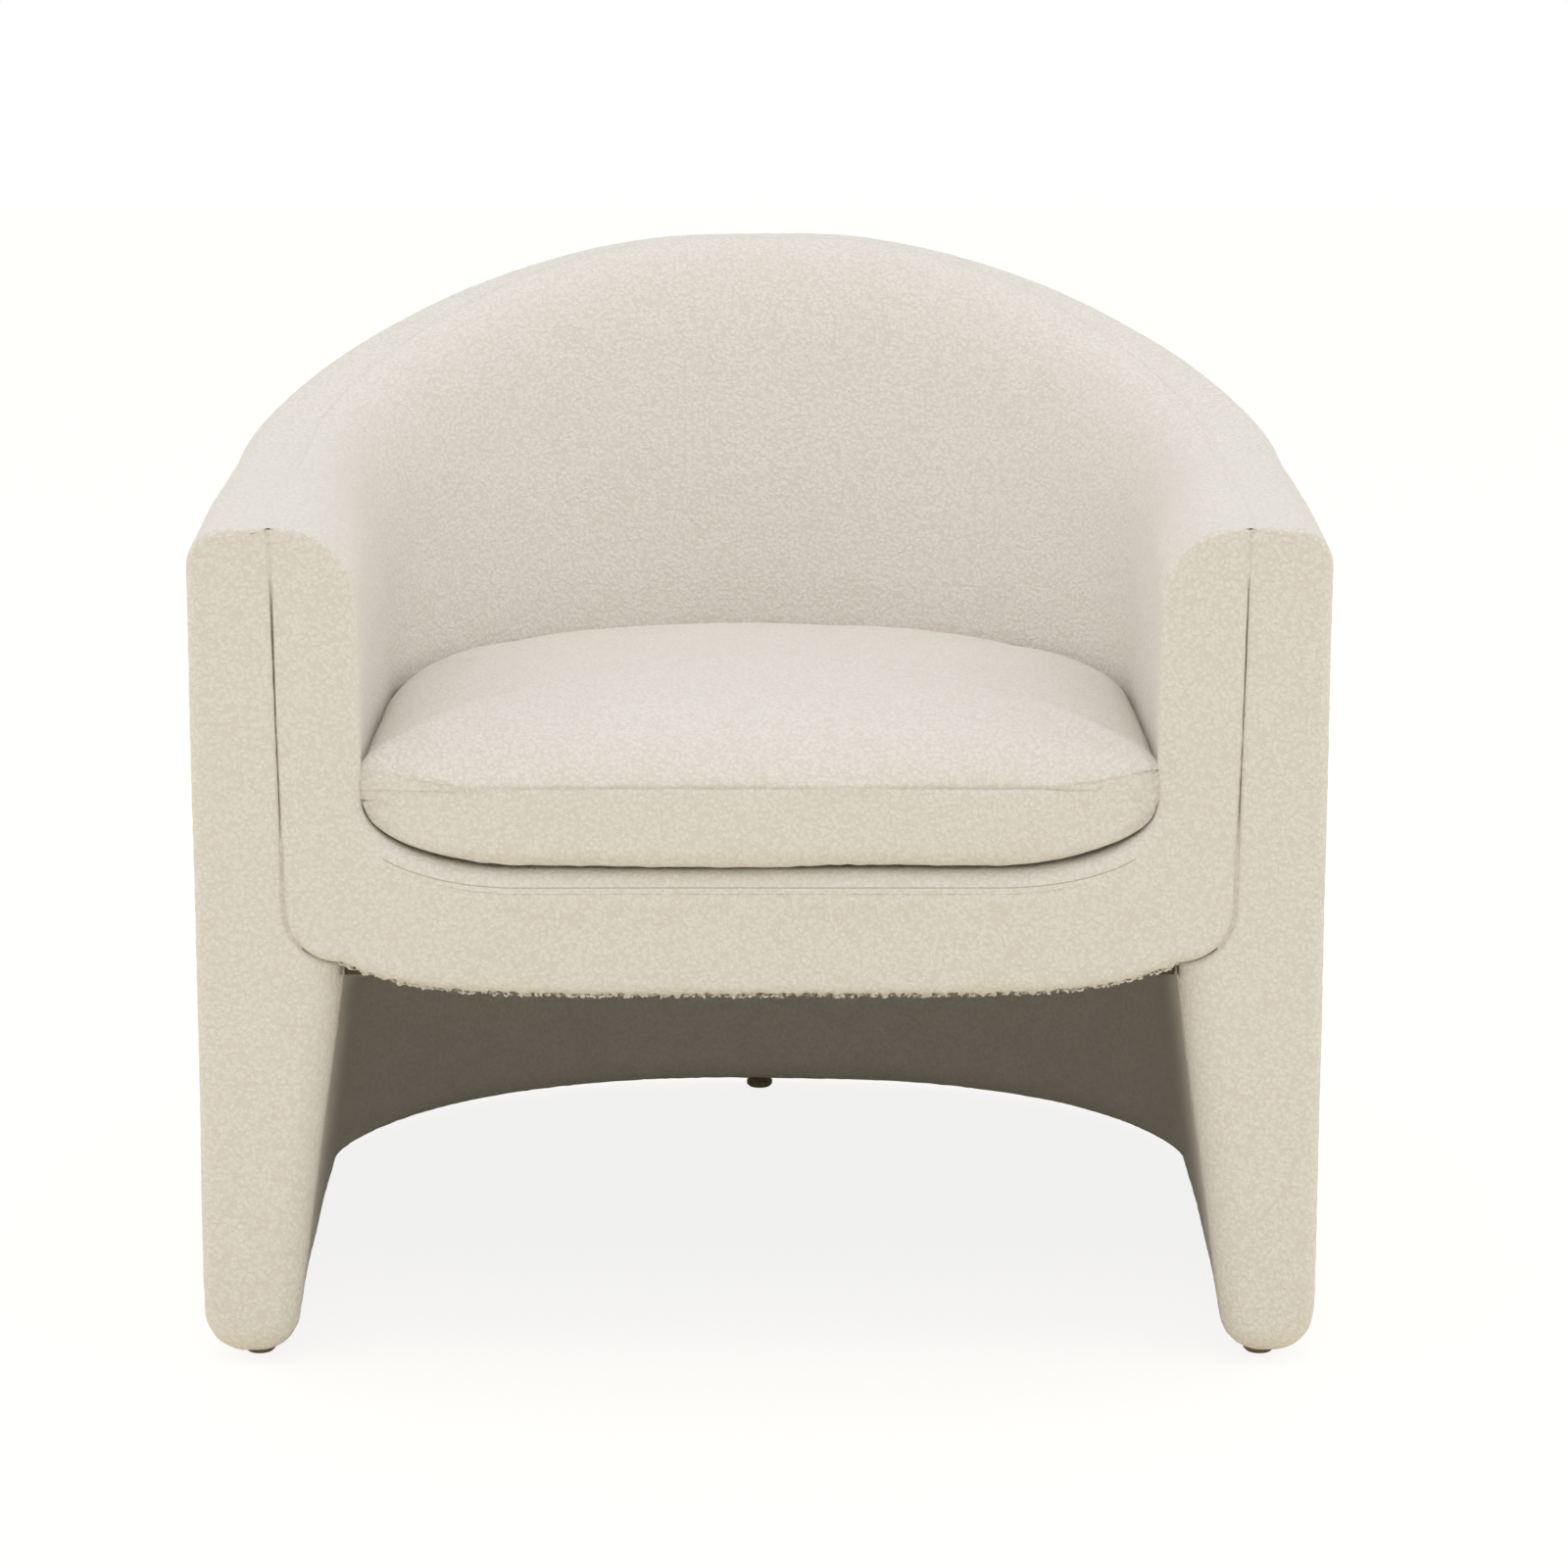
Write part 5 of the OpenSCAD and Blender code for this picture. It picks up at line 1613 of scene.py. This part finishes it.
# %% Floor
WHITE = (1, 1, 1, 1)
FLOOR = 9
FLOOR_GLOW, GLOW_SHARE = 1.07, 0.80
floor_mesh = bpy.data.meshes.new("floor")
floor_mesh.from_pydata([(-FLOOR, -FLOOR, 0), (FLOOR, -FLOOR, 0), (FLOOR, FLOOR, 0),
                        (-FLOOR, FLOOR, 0)], [], [(0, 1, 2, 3)])
floor = new_object("floor", floor_mesh)
floor_finish = Finish("pale floor")
seen = floor_finish.node("ShaderNodeLightPath", out="Is Camera Ray")
floor_finish.paint(Base_Color=(0.94, 0.865, 0.695, 1), Roughness=0.9, Specular_IOR_Level=0.1)
glow = floor_finish.node("ShaderNodeEmission", {}, {"Color": WHITE, "Strength": FLOOR_GLOW})
mixed = floor_finish.node("ShaderNodeMixShader", {}, {0: seen * GLOW_SHARE, 2: glow})
floor_finish.tree.links.new(floor_finish.surface.outputs[0], mixed.socket.node.inputs[1])
floor_finish.tree.links.new(mixed.socket, floor_finish.output.inputs["Surface"])
floor_mesh.materials.append(floor_finish.material)
print("floor:", 2 * FLOOR, "m square")

# %% Room
ROOM_LIGHT = 0.865
world = bpy.data.worlds.new("room")
bpy.context.scene.world = world
world.use_nodes = True
room = Nodes(world.node_tree)
room.tree.nodes.clear()
seen = 0
for ray in ("Is Camera Ray", "Is Glossy Ray", "Is Transmission Ray"):
    seen = room.node("ShaderNodeMath", {"operation": "MAXIMUM"},
                     {0: seen, 1: room.node("ShaderNodeLightPath", out=ray)})
light = room.node("ShaderNodeBackground", {}, {"Color": WHITE, "Strength": ROOM_LIGHT})
white = room.node("ShaderNodeBackground", {}, {"Color": WHITE, "Strength": 1.0})
shown = room.node("ShaderNodeMixShader", {}, {0: seen, 1: light, 2: white})
sky = room.tree.nodes.new("ShaderNodeOutputWorld")
room.tree.links.new(shown.socket, sky.inputs["Surface"])
print("the room's walls shine at", ROOM_LIGHT)

# %% Lamps
COOL = (0.98, 1.0, 1.05)
LESS_COOL = (0.99, 1.0, 1.02)


def soft_lamp(name, where, towards, size, power, tint):
    """A round soft lamp that looks at a place; size is its width and power is in watts."""
    data = bpy.data.lights.new(name, "AREA")
    data.shape = "DISK"
    data.size, data.energy, data.color = size, power, tint
    lamp = new_object(name, data)
    lamp.location = where
    lamp.rotation_euler = (Vector(towards) - Vector(where)).to_track_quat("-Z", "Y").to_euler()


soft_lamp("overhead", (0.0, -0.3, 2.9), (0, 0, 0.4), size=2.4, power=6.6, tint=COOL)
for name, side in (("left", -1), ("right", 1)):
    soft_lamp(name, (2.6 * side, -0.9, 2.0), (0, 0, 0.45), size=2.0, power=9.2, tint=LESS_COOL)
print("lamps:", len(bpy.data.lights))

# %% [markdown]
# The camera stands a little above the chair and looks down at it. A long lens keeps the
# legs and the rim from leaning. The view transform stays plain, so that a colour comes out
# as it is written.

# %% Camera
STAND_OFF, EYE_HEIGHT = 3.2, 1.10862
LOOK_DOWN = math.radians(12.0436)
camera_data = bpy.data.cameras.new("camera")
camera_data.lens = 108.27
camera_data.sensor_width = 36.0
camera_data.shift_x = 0.0156
camera = new_object("camera", camera_data)
camera.location = (0.0, FRONT - STAND_OFF, EYE_HEIGHT)
camera.rotation_euler = (RIGHT_ANGLE - LOOK_DOWN, 0, 0)
bpy.context.scene.camera = camera
bpy.context.scene.view_settings.view_transform = "Standard"
print("camera looks down by", round(math.degrees(LOOK_DOWN), 2), "degrees")
